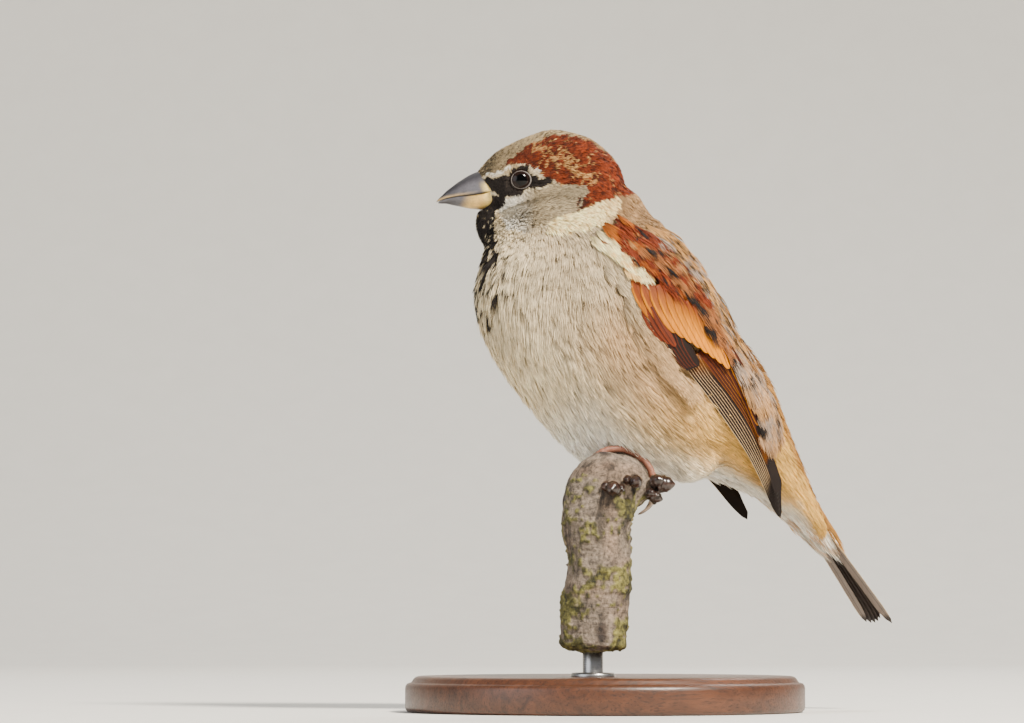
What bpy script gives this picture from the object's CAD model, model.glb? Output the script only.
"""A male house sparrow, life size, gripping a short cut branch on a round wooden stand."""

import functools
import math

import bmesh
import bpy
import numpy as np
from bpy.props import FloatProperty, FloatVectorProperty, PointerProperty
from mathutils import Matrix, Vector
from mathutils.bvhtree import BVHTree


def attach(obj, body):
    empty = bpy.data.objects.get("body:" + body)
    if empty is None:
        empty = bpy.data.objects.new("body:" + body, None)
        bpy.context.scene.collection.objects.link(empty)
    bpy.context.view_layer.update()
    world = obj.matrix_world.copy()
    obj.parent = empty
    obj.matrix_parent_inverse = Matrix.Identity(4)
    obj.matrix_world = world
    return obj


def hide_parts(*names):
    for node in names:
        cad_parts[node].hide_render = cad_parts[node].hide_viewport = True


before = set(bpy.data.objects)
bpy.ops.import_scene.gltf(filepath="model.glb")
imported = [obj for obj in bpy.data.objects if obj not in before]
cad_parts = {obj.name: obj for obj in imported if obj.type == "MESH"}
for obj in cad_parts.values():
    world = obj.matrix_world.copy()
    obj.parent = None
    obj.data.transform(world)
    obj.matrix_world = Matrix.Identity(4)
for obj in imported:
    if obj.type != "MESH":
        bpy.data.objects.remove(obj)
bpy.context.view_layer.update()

bl_info = {
    "name": "House sparrow on a branch",
    "version": (1, 0, 0),
    "blender": (4, 5, 0),
    "location": "3D View > Sidebar > Sparrow",
    "description": "Models a life-size male house sparrow with its plumage, perch and stand",
    "category": "Add Mesh",
}

MM = 0.001
SIDES = ((-1, "left"), (1, "right"))  # the side of each on Y, and its name
MIRROR = np.array([1, -1, 1])
SIDEWAYS = np.array([0, 1, 0])

# Sizes in millimetres. The bird faces -X, its left side faces -Y, and the stand's foot is at z 0.

HEAD_TURN = math.radians(-22)
NECK_PIVOT = np.array([-6.0, 0.0, 120.0])

# Stations of each body: centre, half sizes up, down and across, and the depth of the coat there.
HEAD = [
    ((-32.2, 0, 129.6), 3.0, 2.4, 2.2, 0.5),
    ((-30.6, 0, 130.4), 5.4, 5.0, 4.4, 0.6),
    ((-26.8, 0, 131.2), 8.8, 8.2, 7.9, 0.7),
    ((-21.0, 0, 131.6), 11.9, 11.6, 9.9, 0.9),
    ((-14.0, 0, 131.4), 14.4, 13.4, 11.4, 1.2),
    ((-7.0, 0, 130.6), 13.5, 13.2, 11.8, 1.6),
    ((-0.5, 0, 129.4), 9.8, 10.0, 10.4, 1.9),
    ((4.8, 0, 128.4), 4.8, 5.0, 6.0, 2.0),
]
TRUNK = [
    ((-11.5, 0, 134), 6, 9, 9, 1.8),
    ((-10.2, 0, 127), 19.2, 17.6, 13.2, 2.0),
    ((-9.5, 0, 119.5), 24.2, 22.8, 17, 2.2),
    ((-6.3, 0, 107.5), 28.2, 29.8, 21.6, 2.6),
    ((3, 0, 93.5), 28.9, 28.8, 24, 2.8),
    ((14.5, 0, 82), 27.8, 27.6, 23.8, 2.8),
    ((29.5, 0, 74.5), 19.6, 17.4, 19.4, 2.6),
    ((40, 0, 66), 12.9, 11.2, 14.6, 2.2),
    ((48.5, 0, 58), 7.8, 6.2, 10.6, 1.8),
    ((56, 0, 49), 4.6, 3.2, 8.2, 1.2),
    ((62, 0, 41.6), 2.2, 1.6, 6.4, 0.8),
]
THROAT = [
    ((-24, 7.6, 127.6), 4, 4, 4.5, 0.8),
    ((-26.4, 8.2, 122.6), 5.2, 5.2, 5.8, 1.0),
    ((-23.4, 6, 115), 5, 5, 8, 1.6),
    ((-21, 3, 106), 6, 6, 10, 2.0),
]
THIGH = [
    ((26, 9.6, 65.5), 3, 4, 4.4, 1.2),
    ((21, 10, 62.6), 4.6, 5.2, 5.8, 1.4),
    ((16.4, 10.2, 61.4), 4.6, 4.8, 5.2, 1.2),
    ((13, 10, 61.8), 2.4, 2.6, 2.8, 0.8),
]

BILL_LINE = [
    (-42.9, 127.4), (-40.3, 128.35), (-37.4, 128.8), (-34.0, 129.05), (-31.4, 129.4), (-28.6, 130.1), (-25.6, 129.8),
]
BILL = [  # place along it, its height over and depth under the line of the mouth, and its half width
    (-42.9, 0.28, 0.28, 0.28), (-40.3, 1.9, 1.35, 1.25), (-37.4, 3.6, 2.5, 2.5), (-34.0, 5.35, 3.45, 3.75),
    (-31.4, 5.8, 4.0, 4.7), (-28.6, 5.2, 4.2, 4.9), (-25.6, 4.4, 4.0, 4.2),
]
EYE = (-22.0, 6.75, 132.35)
EYE_RADIUS = 3.3
EYE_OPENING = 2.04
LID_RADIUS = 0.2

TAIL_ROOT = np.array([47.4, 0, 61.6])
TAIL_TIP = np.array([80.4, 0, 22.6])
TAIL_PAIRS = 6
TAIL_FAN = math.radians(6.0)

PERCH_TURN = math.radians(25)
PERCH_MIDDLE = np.array([3.4, 0.0, 56.6])
PERCH_RADIUS = 7.6
STEM_ALONG = -24.5
PERCH_TAIL = 27.0
PERCH_BOTTOM = 15.0
FOOT_ALONG = 11.5
TOE_RADIUS = 0.95
TOE_BASE_ANGLE = math.radians(32)
TOE_CURVE = PERCH_RADIUS + TOE_RADIUS + 0.3
TOES = {  # how far each runs round the branch, its splay along it and its claw's sweep
    "hind": (58, 0.4, 44),
    "inner": (-80, -3, -26),
    "middle": (-98, 0, -28),
    "outer": (-82, 3, -26),
}
ROD_RADIUS = 2.5

# Where the folded left wing lies, x, y, z: its lower edge from the shoulder to the tip, then its upper one.
WING_REST = [
    (-8.8, -18.3, 117.8), (-6.3, -20.9, 111.2), (-3, -22.8, 105.8), (0.1, -24.3, 96.9),
    (5.3, -24.8, 90.8), (12.5, -24.4, 80.1), (19.2, -22.8, 74.8), (26.2, -19.6, 69.3),
    (33.4, -15.8, 63.8), (39.6, -12.2, 57), (45.2, -9.6, 48.4), (11.2, -14.2, 117.8),
    (15.2, -14.8, 115.1), (18.8, -17.8, 106.5), (19.7, -21.7, 95), (23.3, -21.7, 88.4),
    (29.2, -20, 82.8), (33.9, -18.5, 77), (37.9, -15.6, 66.9), (39.8, -12.8, 60.7),
    (5.7, -20.3, 111.7), (13.3, -21.9, 102.3), (9, -24.2, 98), (14.6, -24.2, 90.8),
]

# The head's markings as seen from its side, x and z in the head's own straight frame.
CHESTNUT_SIDE = [
    (-26.3, 135.8), (-24.4, 138.0), (-20.1, 141.3), (-14.8, 143.6), (-9.9, 144.3), (-4.6, 142.8), (0, 139.6),
    (3.5, 136.4), (6.6, 132.4), (6.0, 129.2), (3.2, 129.0), (-1.3, 127.2), (-5.3, 125.4),
    (-8.3, 123.8), (-7.0, 126.2), (-6.1, 128.8), (-5.8, 130.7), (-11.8, 131.1),
    (-13.7, 131.7), (-16.2, 133.2), (-17.4, 134.5), (-19.9, 135.8), (-22.3, 136.6),
]
CHEEK = [
    (-27.6, 126.1), (-26.0, 127.5), (-22.8, 128.3), (-19.9, 129.3), (-17.9, 130.2),
    (-14.2, 130.9), (-11.8, 130.9), (-8.3, 130.9), (-5.2, 130.6), (-6.4, 128.8),
    (-7.7, 126.4), (-8.6, 124.3), (-12.1, 123.0), (-14.6, 122.2), (-18.3, 119.7),
    (-22.0, 118.5), (-25.6, 119.9), (-27.3, 123.0),
]
NECK_BAND = [
    (-14.9, 121.9), (-9.1, 123.5), (-7.1, 124.6), (-3.4, 126.3), (1.9, 128.7), (3.1, 126.6),
    (2.2, 124.0), (-1.3, 121.4), (-3.7, 119.8), (-8.7, 118.6), (-12.2, 117.6), (-16.7, 118.1),
]
EYE_STRIPE = [
    (-33.0, 134.2), (-31.1, 133.3), (-28.0, 133.2), (-24.8, 134.1), (-24.0, 135.4),
    (-22.5, 136.1), (-20.3, 135.8), (-19.9, 133.2), (-15.0, 132.7), (-14.0, 131.4),
    (-17.4, 130.7), (-19.9, 129.8), (-21.6, 129.0), (-22.8, 128.1), (-26.5, 128.0),
    (-28.6, 129.2), (-33.0, 130.0),
]
GAPE_CORNER = [(-29.6, 128.4), (-26.0, 128.2), (-25.7, 126.7), (-27.6, 125.0), (-30.5, 125.0)]
EYE_SPOT = [(-19.4, 135.7), (-18.6, 135.8), (-17.4, 135.0), (-16.8, 134.2), (-18.4, 134.4), (-19.0, 135.0)]
BROW = [
    (-31.3, 134.3), (-30.2, 134.6), (-28.6, 134.3), (-27.0, 134.6), (-25.6, 135.4), (-24.4, 135.8),
    (-24.9, 135.0), (-26.2, 134.2), (-28.2, 133.7), (-29.6, 133.7), (-30.8, 133.6),
]
BIB_LINE = [(-29.5, 8.9, 126.5), (-31.2, 7.2, 121.5), (-32.3, 3.5, 115), (-34, 0.5, 108), (-34.5, -1, 102)]


def tone(red, green, blue):
    """A colour given as 0 to 255, as the linear values that a material holds."""
    part = np.array([red, green, blue]) / 255
    return np.where(part <= 0.04045, part / 12.92, ((part + 0.055) / 1.055) ** 2.4)


# Shapes and number work


def spline(points):
    """A smooth curve through the points, given as a function of a share from 0 to 1."""
    points = np.asarray(points, float)
    padded = np.vstack([2 * points[0] - points[1], points, 2 * points[-1] - points[-2]])

    def at(share):
        place = np.clip(np.asarray(share, float), 0, 1) * (len(points) - 1)
        first = np.minimum(place.astype(int), len(points) - 2)
        w = (place - first)[..., None]
        p0, p1, p2, p3 = (padded[first + k] for k in range(4))
        d0, d1, d2 = (
            np.maximum(np.linalg.norm(b - a, axis=-1, keepdims=True) ** 0.5, 1e-4)
            for a, b in ((p0, p1), (p1, p2), (p2, p3))
        )
        t1 = ((p1 - p0) / d0 - (p2 - p0) / (d0 + d1) + (p2 - p1) / d1) * d1
        t2 = ((p2 - p1) / d1 - (p3 - p1) / (d1 + d2) + (p3 - p2) / d2) * d1
        return p1 + t1 * w + (3 * (p2 - p1) - 2 * t1 - t2) * w**2 + (2 * (p1 - p2) + t1 + t2) * w**3

    return at


def unit(vectors):
    vectors = np.asarray(vectors, float)
    return vectors / np.maximum(np.linalg.norm(vectors, axis=-1, keepdims=True), 1e-9)


def direction(curve, share):
    return unit(curve(np.clip(share + 1e-3, 0, 1)) - curve(np.clip(share - 1e-3, 0, 1)))


def ease(low, high, value):
    """0 below low, 1 above high, and a smooth step between them; low may be the greater."""
    share = np.clip((np.asarray(value, float) - low) / (high - low), 0, 1)
    return share * share * (3 - 2 * share)


def blend(a, b, share):
    """Goes from a to b by the share, where they are numbers or colours."""
    a, b, share = (np.asarray(value, float) for value in (a, b, share))
    plain = share.ndim == 0 or a.ndim == 0 or a.shape == share.shape
    return a + (b - a) * (share if plain else share[..., None])


def mottle(points, size, seed=0):
    """Smooth random values from -1 to 1 for the points, which change over about that size."""
    place = np.asarray(points, float) / size + 17.31 * (seed + 1)
    cell = np.floor(place).astype(np.int64)
    share = place - cell
    share = share * share * (3 - 2 * share)
    total = 0
    for corner in np.ndindex(2, 2, 2):
        c = cell + corner
        h = (c[..., 0] * 73856093) ^ (c[..., 1] * 19349663) ^ (c[..., 2] * 83492791)
        h = ((h ^ (h >> 13)) * 1274126177) & 0x7FFFFFFF
        value = ((h ^ (h >> 16)) % 65536) / 32767.5 - 1
        total = total + value * np.prod(np.where(corner, share, 1 - share), axis=-1)
    return total


def turn_about(points, angle):
    c, s = math.cos(angle), math.sin(angle)
    p = np.asarray(points, float) - NECK_PIVOT
    x, y = p[..., 0] * c - p[..., 1] * s, p[..., 0] * s + p[..., 1] * c
    return np.stack([x, y, p[..., 2]], -1) + NECK_PIVOT


def from_head(points):
    return turn_about(points, HEAD_TURN)


def to_head(points):
    return turn_about(points, -HEAD_TURN)


def off_eye(h):
    """How far points of the head's own frame are from the eye's middle in the side view."""
    return np.hypot(h[:, 0] - EYE[0], h[:, 2] - EYE[2])


def within(outline, x, z):
    """Whether each point of the side view lies in the outline."""
    inside = np.zeros(np.shape(x), bool)
    for (x1, z1), (x2, z2) in zip(outline, outline[1:] + outline[:1]):
        if z1 != z2:
            crossed = (z1 > z) != (z2 > z)
            inside ^= crossed & (x < (x2 - x1) * (z - z1) / (z2 - z1) + x1)
    return inside


def loft(bm, stations, side=(0, 1, 0), around=48, rings=48, cap=0.08, thinner=0.0, swell=None, place=None):
    """Adds a round-ended body along a curve. thinner takes that share of each station's coat depth off it,
    swell(share, angle, points) gives a factor on its thickness, and place moves the finished points."""
    made = bmesh.ops.create_uvsphere(bm, u_segments=around, v_segments=rings, radius=1.0)["verts"]
    ball = np.array([v.co[:] for v in made])
    share, angle = np.clip((1 - ball[:, 2]) / 2, 0, 1), np.arctan2(ball[:, 1], ball[:, 0])
    depth = np.array([s[4] if len(s) > 4 else 0.0 for s in stations]) * thinner
    sizes = np.array([s[1:4] for s in stations], float)
    sizes = np.maximum(sizes - depth[:, None], 0.4 * sizes)
    centre, size = spline([s[0] for s in stations]), spline(sizes)
    along = direction(centre, share)
    side = np.asarray(side, float)
    across = unit(side - (along @ side)[:, None] * along)
    upward = np.cross(along, across)
    dome = lambda s: np.sqrt(np.maximum(1 - (1 - np.minimum(s / cap, 1)) ** 2, 0))
    rounding = dome(share) * dome(1 - share)
    up, down, wide = size(share).T
    rise, reach = np.cos(angle) * rounding, np.sin(angle) * rounding
    middle = centre(share)
    if thinner:
        pull = np.interp(share, np.linspace(0, 1, len(depth)), depth)
        middle = middle + along * (np.where(rounding < 1, pull, 0) * ball[:, 2])[:, None]
    offset = upward * (rise * np.where(rise > 0, up, down))[:, None] + across * (reach * wide)[:, None]
    if swell is not None:
        offset = offset * swell(share, angle, middle + offset)[:, None]
    points = middle + offset
    if place is not None:
        points = place(points)
    for vert, point in zip(made, points * MM):
        vert.co = point


def linked(name, data):
    """An object of the data, in the scene."""
    made = bpy.data.objects.new(name, data)
    bpy.context.scene.collection.objects.link(made)
    return made


def spin_round(bm, steps):
    """Spins what bm holds once round the upright axis, joined where it meets."""
    bmesh.ops.spin(bm, geom=bm.verts[:] + bm.edges[:], cent=(0, 0, 0), axis=(0, 0, 1), dvec=(0, 0, 0),
                   angle=math.tau, steps=steps, use_merge=True, use_duplicate=False)


def mesh_from(name, bm):
    """A mesh from bm, which is used up, with its faces turned outwards."""
    bmesh.ops.recalc_face_normals(bm, faces=bm.faces)
    mesh = bpy.data.meshes.new(name)
    bm.to_mesh(mesh)
    bm.free()
    return mesh


def shown(name, mesh, *materials):
    """A smooth object of the mesh in those materials."""
    for material in materials:
        mesh.materials.append(material)
    mesh.polygons.foreach_set("use_smooth", [True] * len(mesh.polygons))
    return linked(name, mesh)


def made_piece(name, bm, *materials):
    """A finished object from bm, with its faces turned outwards."""
    bmesh.ops.remove_doubles(bm, verts=bm.verts, dist=1e-7)
    return shown(name, mesh_from(name, bm), *materials)


def fused(name, bm, voxel, rounds):
    """The shapes in bm as one closed mesh with no seam, smoothed for that many rounds."""
    rough = linked(name + "_rough", mesh_from(name + "_rough", bm))
    remesh = rough.modifiers.new("One skin", "REMESH")
    remesh.mode, remesh.voxel_size = "VOXEL", voxel * MM
    smooth = rough.modifiers.new("Smooth", "SMOOTH")
    smooth.factor, smooth.iterations = 0.5, rounds
    made = bpy.data.meshes.new_from_object(rough.evaluated_get(bpy.context.evaluated_depsgraph_get()))
    bpy.data.objects.remove(rough)
    made.name = name
    return made


def settle(piece, slot, *replaced):
    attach(piece, "root")
    if replaced:
        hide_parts(*replaced)


def read(items, attribute, width=3, kind=float):
    """One attribute of each of a mesh's items, as rows."""
    values = np.empty(len(items) * width, kind)
    items.foreach_get(attribute, values)
    return values.reshape(-1, width)


def points_of(mesh):
    return read(mesh.vertices, "co") / MM


def move_points(mesh, points):
    mesh.vertices.foreach_set("co", (np.asarray(points) * MM).ravel())
    mesh.update()


def paint(mesh, colours):
    """Stores a colour on each vertex."""
    layer = mesh.color_attributes.new("Paint", "FLOAT_COLOR", "POINT")
    layer.data.foreach_set("color", np.hstack([colours, np.ones((len(colours), 1))]).ravel())


# The branch as a guide for what rests on it

perch_along = np.array([math.sin(PERCH_TURN), math.cos(PERCH_TURN), 0])
perch_across = np.array([math.cos(PERCH_TURN), -math.sin(PERCH_TURN), 0])
WORLD_UP = np.array([0.0, 0.0, 1.0])


def on_perch(along, across=0.0, above=0.0):
    along, across, above = np.broadcast_arrays(along, across, above)
    place = PERCH_MIDDLE + along[..., None] * perch_along + across[..., None] * perch_across
    return place + above[..., None] * WORLD_UP


def round_perch(angle, distance, along):
    return on_perch(along, np.sin(angle) * distance, np.cos(angle) * distance)


def off_perch(points, clear):
    """The points with any that lie in the level part of the branch moved out to its surface."""
    place = points - PERCH_MIDDLE
    along = place @ perch_along
    radial = place - along[:, None] * perch_along
    distance = np.linalg.norm(radial, axis=1)
    wanted = PERCH_RADIUS + clear
    near = (distance < wanted) & (along > STEM_ALONG - 6) & (along < PERCH_TAIL + 1)
    shift = unit(radial) * (wanted - distance)[:, None]
    return points + shift * near[:, None]


# Finishes


class Finish:
    """A material with a Principled shader, and short ways to add nodes to it."""

    def __init__(self, name, colour=(0.5, 0.5, 0.5), roughness=0.6, **values):
        self.material = bpy.data.materials.new(name)
        self.material.use_nodes = True
        self.tree = self.material.node_tree
        self.shader = self.tree.nodes["Principled BSDF"]
        self.set("Base Color", (*colour, 1))
        self.set("Roughness", roughness)
        for socket, value in values.items():
            self.set(socket.replace("_", " "), value)
        self.material.diffuse_color = (*colour, 1)

    def set(self, socket, value):
        self.shader.inputs[socket].default_value = value

    def node(self, kind, **values):
        made = self.tree.nodes.new("ShaderNode" + kind)
        for key, value in values.items():
            name = key.replace("_", " ")
            if name in made.inputs:
                made.inputs[name].default_value = value
            else:
                setattr(made, key, value)
        return made

    def join(self, start, end):
        self.tree.links.new(start, end)

    def place(self, scale=(1, 1, 1), turn=(0, 0, 0)):
        """Coordinates on the object, stretched by scale and turned."""
        mapping = self.node("Mapping")
        mapping.inputs["Scale"].default_value = scale
        mapping.inputs["Rotation"].default_value = turn
        self.join(self.node("TexCoord").outputs["Object"], mapping.inputs["Vector"])
        return mapping.outputs["Vector"]

    def noise(self, scale, detail=3.0, rough=0.55, where=None, distort=0.0):
        made = self.node("TexNoise", Scale=scale, Detail=detail, Roughness=rough, Distortion=distort)
        self.join(where or self.place(), made.inputs["Vector"])
        return made.outputs["Fac"]

    def ramp(self, factor, stops):
        made = self.node("ValToRGB")
        points = made.color_ramp.elements
        while len(points) < len(stops):
            points.new(0.5)
        for point, (position, colour) in zip(points, stops):
            point.position, point.color = position, (*colour, 1)
        self.join(factor, made.inputs["Fac"])
        return made.outputs["Color"]

    def product(self, a, b):
        """Two colours multiplied."""
        made = self.node("Mix", data_type="RGBA", blend_type="MULTIPLY")
        made.inputs[0].default_value = 1.0
        self.join(a, made.inputs[6])
        self.join(b, made.inputs[7])
        return made.outputs[2]

    def span(self, factor, low, high, out_low=0.0, out_high=1.0):
        made = self.node("MapRange")
        for index, value in enumerate((low, high, out_low, out_high), 1):
            made.inputs[index].default_value = value
        self.join(factor, made.inputs[0])
        return made.outputs[0]

    def add(self, a, b, operation="ADD"):
        made = self.node("Math", operation=operation)
        for value, socket in ((a, 0), (b, 1)):
            if isinstance(value, bpy.types.NodeSocket):
                self.join(value, made.inputs[socket])
            else:
                made.inputs[socket].default_value = value
        return made.outputs[0]

    def painted(self):
        return self.node("Attribute", attribute_name="Paint").outputs["Color"]

    def shade(self, pattern, *stops):
        """Takes the painted colour, or the one made so far, down or up by stops of place and level."""
        levels = self.ramp(pattern, [(place, (level,) * 3) for place, level in stops])
        before = self.shader.inputs["Base Color"].links
        colour = before[0].from_socket if before else self.painted()
        self.colour(self.product(colour, levels))

    def bump(self, height, strength, distance):
        made = self.node("Bump", Strength=strength, Distance=distance)
        self.join(height, made.inputs["Height"])
        self.join(made.outputs["Normal"], self.shader.inputs["Normal"])

    def colour(self, socket):
        self.join(socket, self.shader.inputs["Base Color"])

    def roughness(self, socket):
        self.join(socket, self.shader.inputs["Roughness"])


def plumage_finish():
    made = Finish("Soft plumage", roughness=0.75, Sheen_Weight=0.05, Specular_IOR_Level=0.2)
    made.shade(made.noise(900, 2, 0.6), (0.3, 0.86), (0.7, 1.1))
    return made.material


def skin_finish():
    made = Finish("Skin under the plumage", roughness=0.85)
    made.shade(made.noise(1600, 3, 0.65), (0.25, 0.7), (0.75, 1.05))
    made.bump(made.noise(2500, 3, 0.6), 0.6, 0.0002)
    return made.material


def vane_finish():
    """Barbs run out from the shaft on the vane's own map, in millimetres."""
    made = Finish("Feather vane", roughness=0.55, Specular_IOR_Level=0.2)
    where = made.node("UVMap", uv_map="Vane").outputs["UV"]
    waves = made.node("TexWave", Scale=1.25, Distortion=0.6, Detail=2.0, bands_direction="Y")
    waves.inputs["Detail Scale"].default_value = 2.0
    made.join(where, waves.inputs["Vector"])
    stretched = made.node("Mapping")
    stretched.inputs["Scale"].default_value = (0.25, 2.2, 1)
    made.join(where, stretched.inputs["Vector"])
    uneven = made.noise(1.0, 3, 0.6, stretched.outputs["Vector"])
    barbs = made.add(made.add(waves.outputs["Fac"], 0.25, "MULTIPLY"), uneven)
    made.shade(made.span(barbs, 0.35, 0.95), (0.0, 0.7), (1.0, 1.2))
    made.bump(barbs, 0.15, 0.0001)
    return made.material


# The lie of the plumage and its markings

SLOPE = [  # how far the body's line dips below the level, in degrees, by the place along it
    (-120, 88), (-100, 84), (-84, 66), (-70, 52), (-55, 44), (-38, 36), (-25, 42), (-12, 48), (5, 51),
]
LINE_WAY = unit(np.array([0.62, 0.0, -0.78]))


def body_place(points):
    """Each point's place along the body's line in mm (0 at the tail's root) and the line's dip there."""
    along = points @ LINE_WAY
    reach, dip = np.array(SLOPE, float).T
    return along, np.radians(np.interp(along, reach, dip))


def body_turn(points):
    """The angle round the body from the back (0) over the side (90) to the belly (180), in degrees."""
    share = np.linspace(0, 1, 60)
    line = spline([s[0] for s in TRUNK])(share)
    along, dip = body_place(points)
    centre = np.stack([np.interp(along, line @ LINE_WAY, line[:, k]) for k in range(3)], -1)
    upward = np.stack([np.sin(dip), np.zeros_like(dip), np.cos(dip)], -1)
    offset = points - centre
    return np.degrees(np.arctan2(np.abs(offset[:, 1]), np.sum(offset * upward, -1)))


def lie(points, normals):
    """The way the feathers lie: back over the head, down the neck and along the body to the tail."""
    _, dip = body_place(points)
    dip = dip + np.radians(16) * ease(-12, -30, points[:, 0]) * ease(70, 100, points[:, 2])
    body = np.stack([np.cos(dip), np.zeros_like(dip), -np.sin(dip)], -1)
    h = to_head(points)
    fall = 6 + 52 * ease(-12, 7, h[:, 0]) + 16 * ease(135, 122, h[:, 2])
    fall = np.radians(fall + 50 * ease(130, 121, h[:, 2]) * ease(-17, -28, h[:, 0]))
    head = np.stack([np.cos(fall), np.zeros_like(fall), -np.sin(fall)], -1)
    eye = np.array(EYE)
    off = h - eye * np.where(h[:, 1:2] < 0, MIRROR, 1)
    round_eye = np.linalg.norm(off[:, [0, 2]], axis=1)
    push = (1.6 * ease(6.5, 3.0, round_eye) * (np.abs(h[:, 1]) > 4))[:, None]
    head = head + push * unit(np.stack([off[:, 0], 0 * off[:, 0], off[:, 2]], -1))
    head = from_head(head + NECK_PIVOT) - NECK_PIVOT
    way = blend(body, head, ease(115, 124, points[:, 2]))
    sway = np.stack([mottle(points, 7, k) for k in range(3)], -1)
    way = way + 0.22 * sway
    way = way - np.sum(way * normals, -1, keepdims=True) * normals
    return unit(way)


def markings(points, random, colours):
    """The colours of the feathers at the points: at their sides, along their middles and at their bases."""
    n = len(points)
    wobble = np.stack([mottle(points, 1.3, 5 + k) for k in range(3)], -1) * 0.6
    h = to_head(points + wobble)
    hx, hy, hz = h[:, 0], np.abs(h[:, 1]), h[:, 2]
    z = (points + wobble)[:, 2]
    along, _ = body_place(points)
    turn = body_turn(points)
    patchy = mottle(points, 3.2, 3)
    coarse = mottle(points, 8, 4)
    luck = random.random(n)

    white, pale, grey, buff, flank, cream, black, chestnut, mantle, rump = (
        colours[name] for name in COAT_COLOURS[:10]
    )

    # Underparts: pale on the breast, greyer at its side, buff on the rear flank and near white below.
    side = np.tile(pale, (n, 1))
    side = blend(side, grey, 0.75 * ease(165, 120, turn) * ease(-30, -60, along))
    side = blend(side, buff, 0.55 * ease(150, 110, turn) * ease(-92, -74, along))
    side = blend(side, flank, ease(150, 118, turn) * ease(-66, -34, along))
    side = blend(side, white, ease(132, 160, turn) * ease(-75, -55, along))
    side = blend(side, white, ease(95, 125, turn) * ease(-16, -4, along))
    side = side * (1 + 0.12 * coarse + 0.14 * patchy)[:, None]
    middle = side * 1.0

    # Upperparts: a streaked mantle, then a plainer grey-brown rump.
    back = ease(74, 58, turn + 4 * patchy) * (z < 123)
    lower = ease(-52, -36, along)
    upper = blend(np.tile(mantle, (n, 1)), rump, lower)
    rufous = blend(chestnut, buff, 0.35)
    upper = blend(upper, rufous, (1 - lower) * (luck < 0.42) * 0.75)
    upper = blend(upper, cream, (1 - lower) * (luck > 0.9) * 0.6)
    dark = blend(black, mantle, 0.12)
    streak = blend(dark, upper, np.clip(lower * 0.85 + (luck > 0.72), 0, 1))
    side, middle = blend(side, upper, back), blend(middle, streak, back)

    # Nape and the sides of the neck
    nape = ease(-4, 3, hx) * ease(114, 121, z) * ease(118, 84, turn + 10 * patchy)
    nape_tone = blend(blend(mantle, grey, 0.45), buff, 0.2) * (1 + 0.25 * patchy)[:, None]
    side, middle = blend(side, nape_tone, nape), blend(middle, nape_tone * 0.8, nape)

    head = (z > 121) & (hx < 9)
    sides = within(CHESTNUT_SIDE, hx, hz) & head
    crown_line = np.array([(-34, 133.6)] + CHESTNUT_SIDE[:9])
    crown = (hz > np.interp(hx, crown_line[:, 0], crown_line[:, 1])) & (hx < 6.4) & head
    forehead = (hz > 134) & (hx < -23) & head & ~sides
    red = chestnut * ((0.95 + 0.35 * patchy) * (1 - 0.62 * (luck > 0.7)))[:, None]
    fleck_tone = blend(cream * np.array([0.9, 0.66, 0.42]), buff, 0.4)
    off_band = np.abs((hx + 12) * 0.5 + (hz - 137) * 0.866) + 2.2 * ease(-16, -22, hx) + 2.2 * ease(-6, 0, hx)
    fleck = luck < 0.34 * ease(3.2, 0.6, off_band + 1.2 * patchy) + 0.03
    red = blend(red, fleck_tone, fleck * 0.7)
    red = blend(red, chestnut * 1.5, 0.4 * ease(-8, 2, hx) * (luck < 0.75))
    grey_top = blend(colours["crown"] * (1 + 0.2 * patchy)[:, None], mantle, 0.6 * ease(-12, 0, hx))
    speck = (luck < 0.16) | (luck < 0.75 * ease(-26, -31, hx + 0.6 * (hy - 4)))
    grey_top = blend(grey_top, black, speck * 0.8)
    cheek = within(CHEEK, hx, hz) & (hy > 3)
    cheek_tone = blend(colours["cheek"], colours["cheek"] * 0.72, ease(-19, -8, hx) * ease(122, 128, hz))
    cheek_tone = blend(cheek_tone, white, 0.85 * ease(-18, -25, hx))
    band = within(NECK_BAND, hx, hz) & (hy > 5)
    band_tone = blend(np.tile(cream, (n, 1)), buff, 0.5 * (luck < 0.25) + 0.35 * ease(-4, 2, hx))
    rear = within([(-8.6, 127.4), (-6.6, 128.6), (-6.6, 124.6), (-8.2, 124.0)], hx, hz) & (hy > 5) & (luck < 0.6)

    # Bib: black at the chin, breaking up into spots down the breast
    bib = spline(BIB_LINE)(np.linspace(0, 1, 30))
    offset = points[:, None, :] - bib[None]
    distance = np.linalg.norm(offset * np.array([0.8, 1, 1]), axis=2)
    nearest = np.argmin(distance, axis=1)
    down = nearest / 29
    reach = np.interp(down, [0, 0.25, 0.5, 0.75, 1], [4.6, 5.0, 5.6, 8.0, 8.5])
    inside = distance[np.arange(n), nearest] < reach
    chance = np.interp(down, [0, 0.3, 0.5, 0.72, 1.0], [0.95, 0.82, 0.64, 0.5, 0.36])
    spot = inside & (0.5 + 0.5 * mottle(points, 1.1, 9) + 0.3 * (luck - 0.5) < chance) & (hx < -24)
    mouth = within(GAPE_CORNER, hx, hz) & (hy > 1)
    stripe = within(EYE_STRIPE, hx, hz) & (hz > 127)
    spots = (within(EYE_SPOT, hx, hz) | within(BROW, hx, hz)) & (hy > 4) & (luck < 0.66)

    # What is drawn later covers what is drawn before.
    for place, side_tone, middle_tone in (
        (sides, red, red * 0.9), (crown | forehead, grey_top, grey_top * 0.9), (cheek, cheek_tone, cheek_tone),
        (band, band_tone, band_tone), (rear, chestnut * 0.45, black), (spot | mouth | stripe, black, black),
        (spots, white, white),
    ):
        side = np.where(place[:, None], side_tone, side)
        middle = np.where(place[:, None], middle_tone, middle)
    base = blend(side * 0.62, np.tile(colours["down"], (n, 1)), 0.35)
    return side, middle, base


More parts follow.
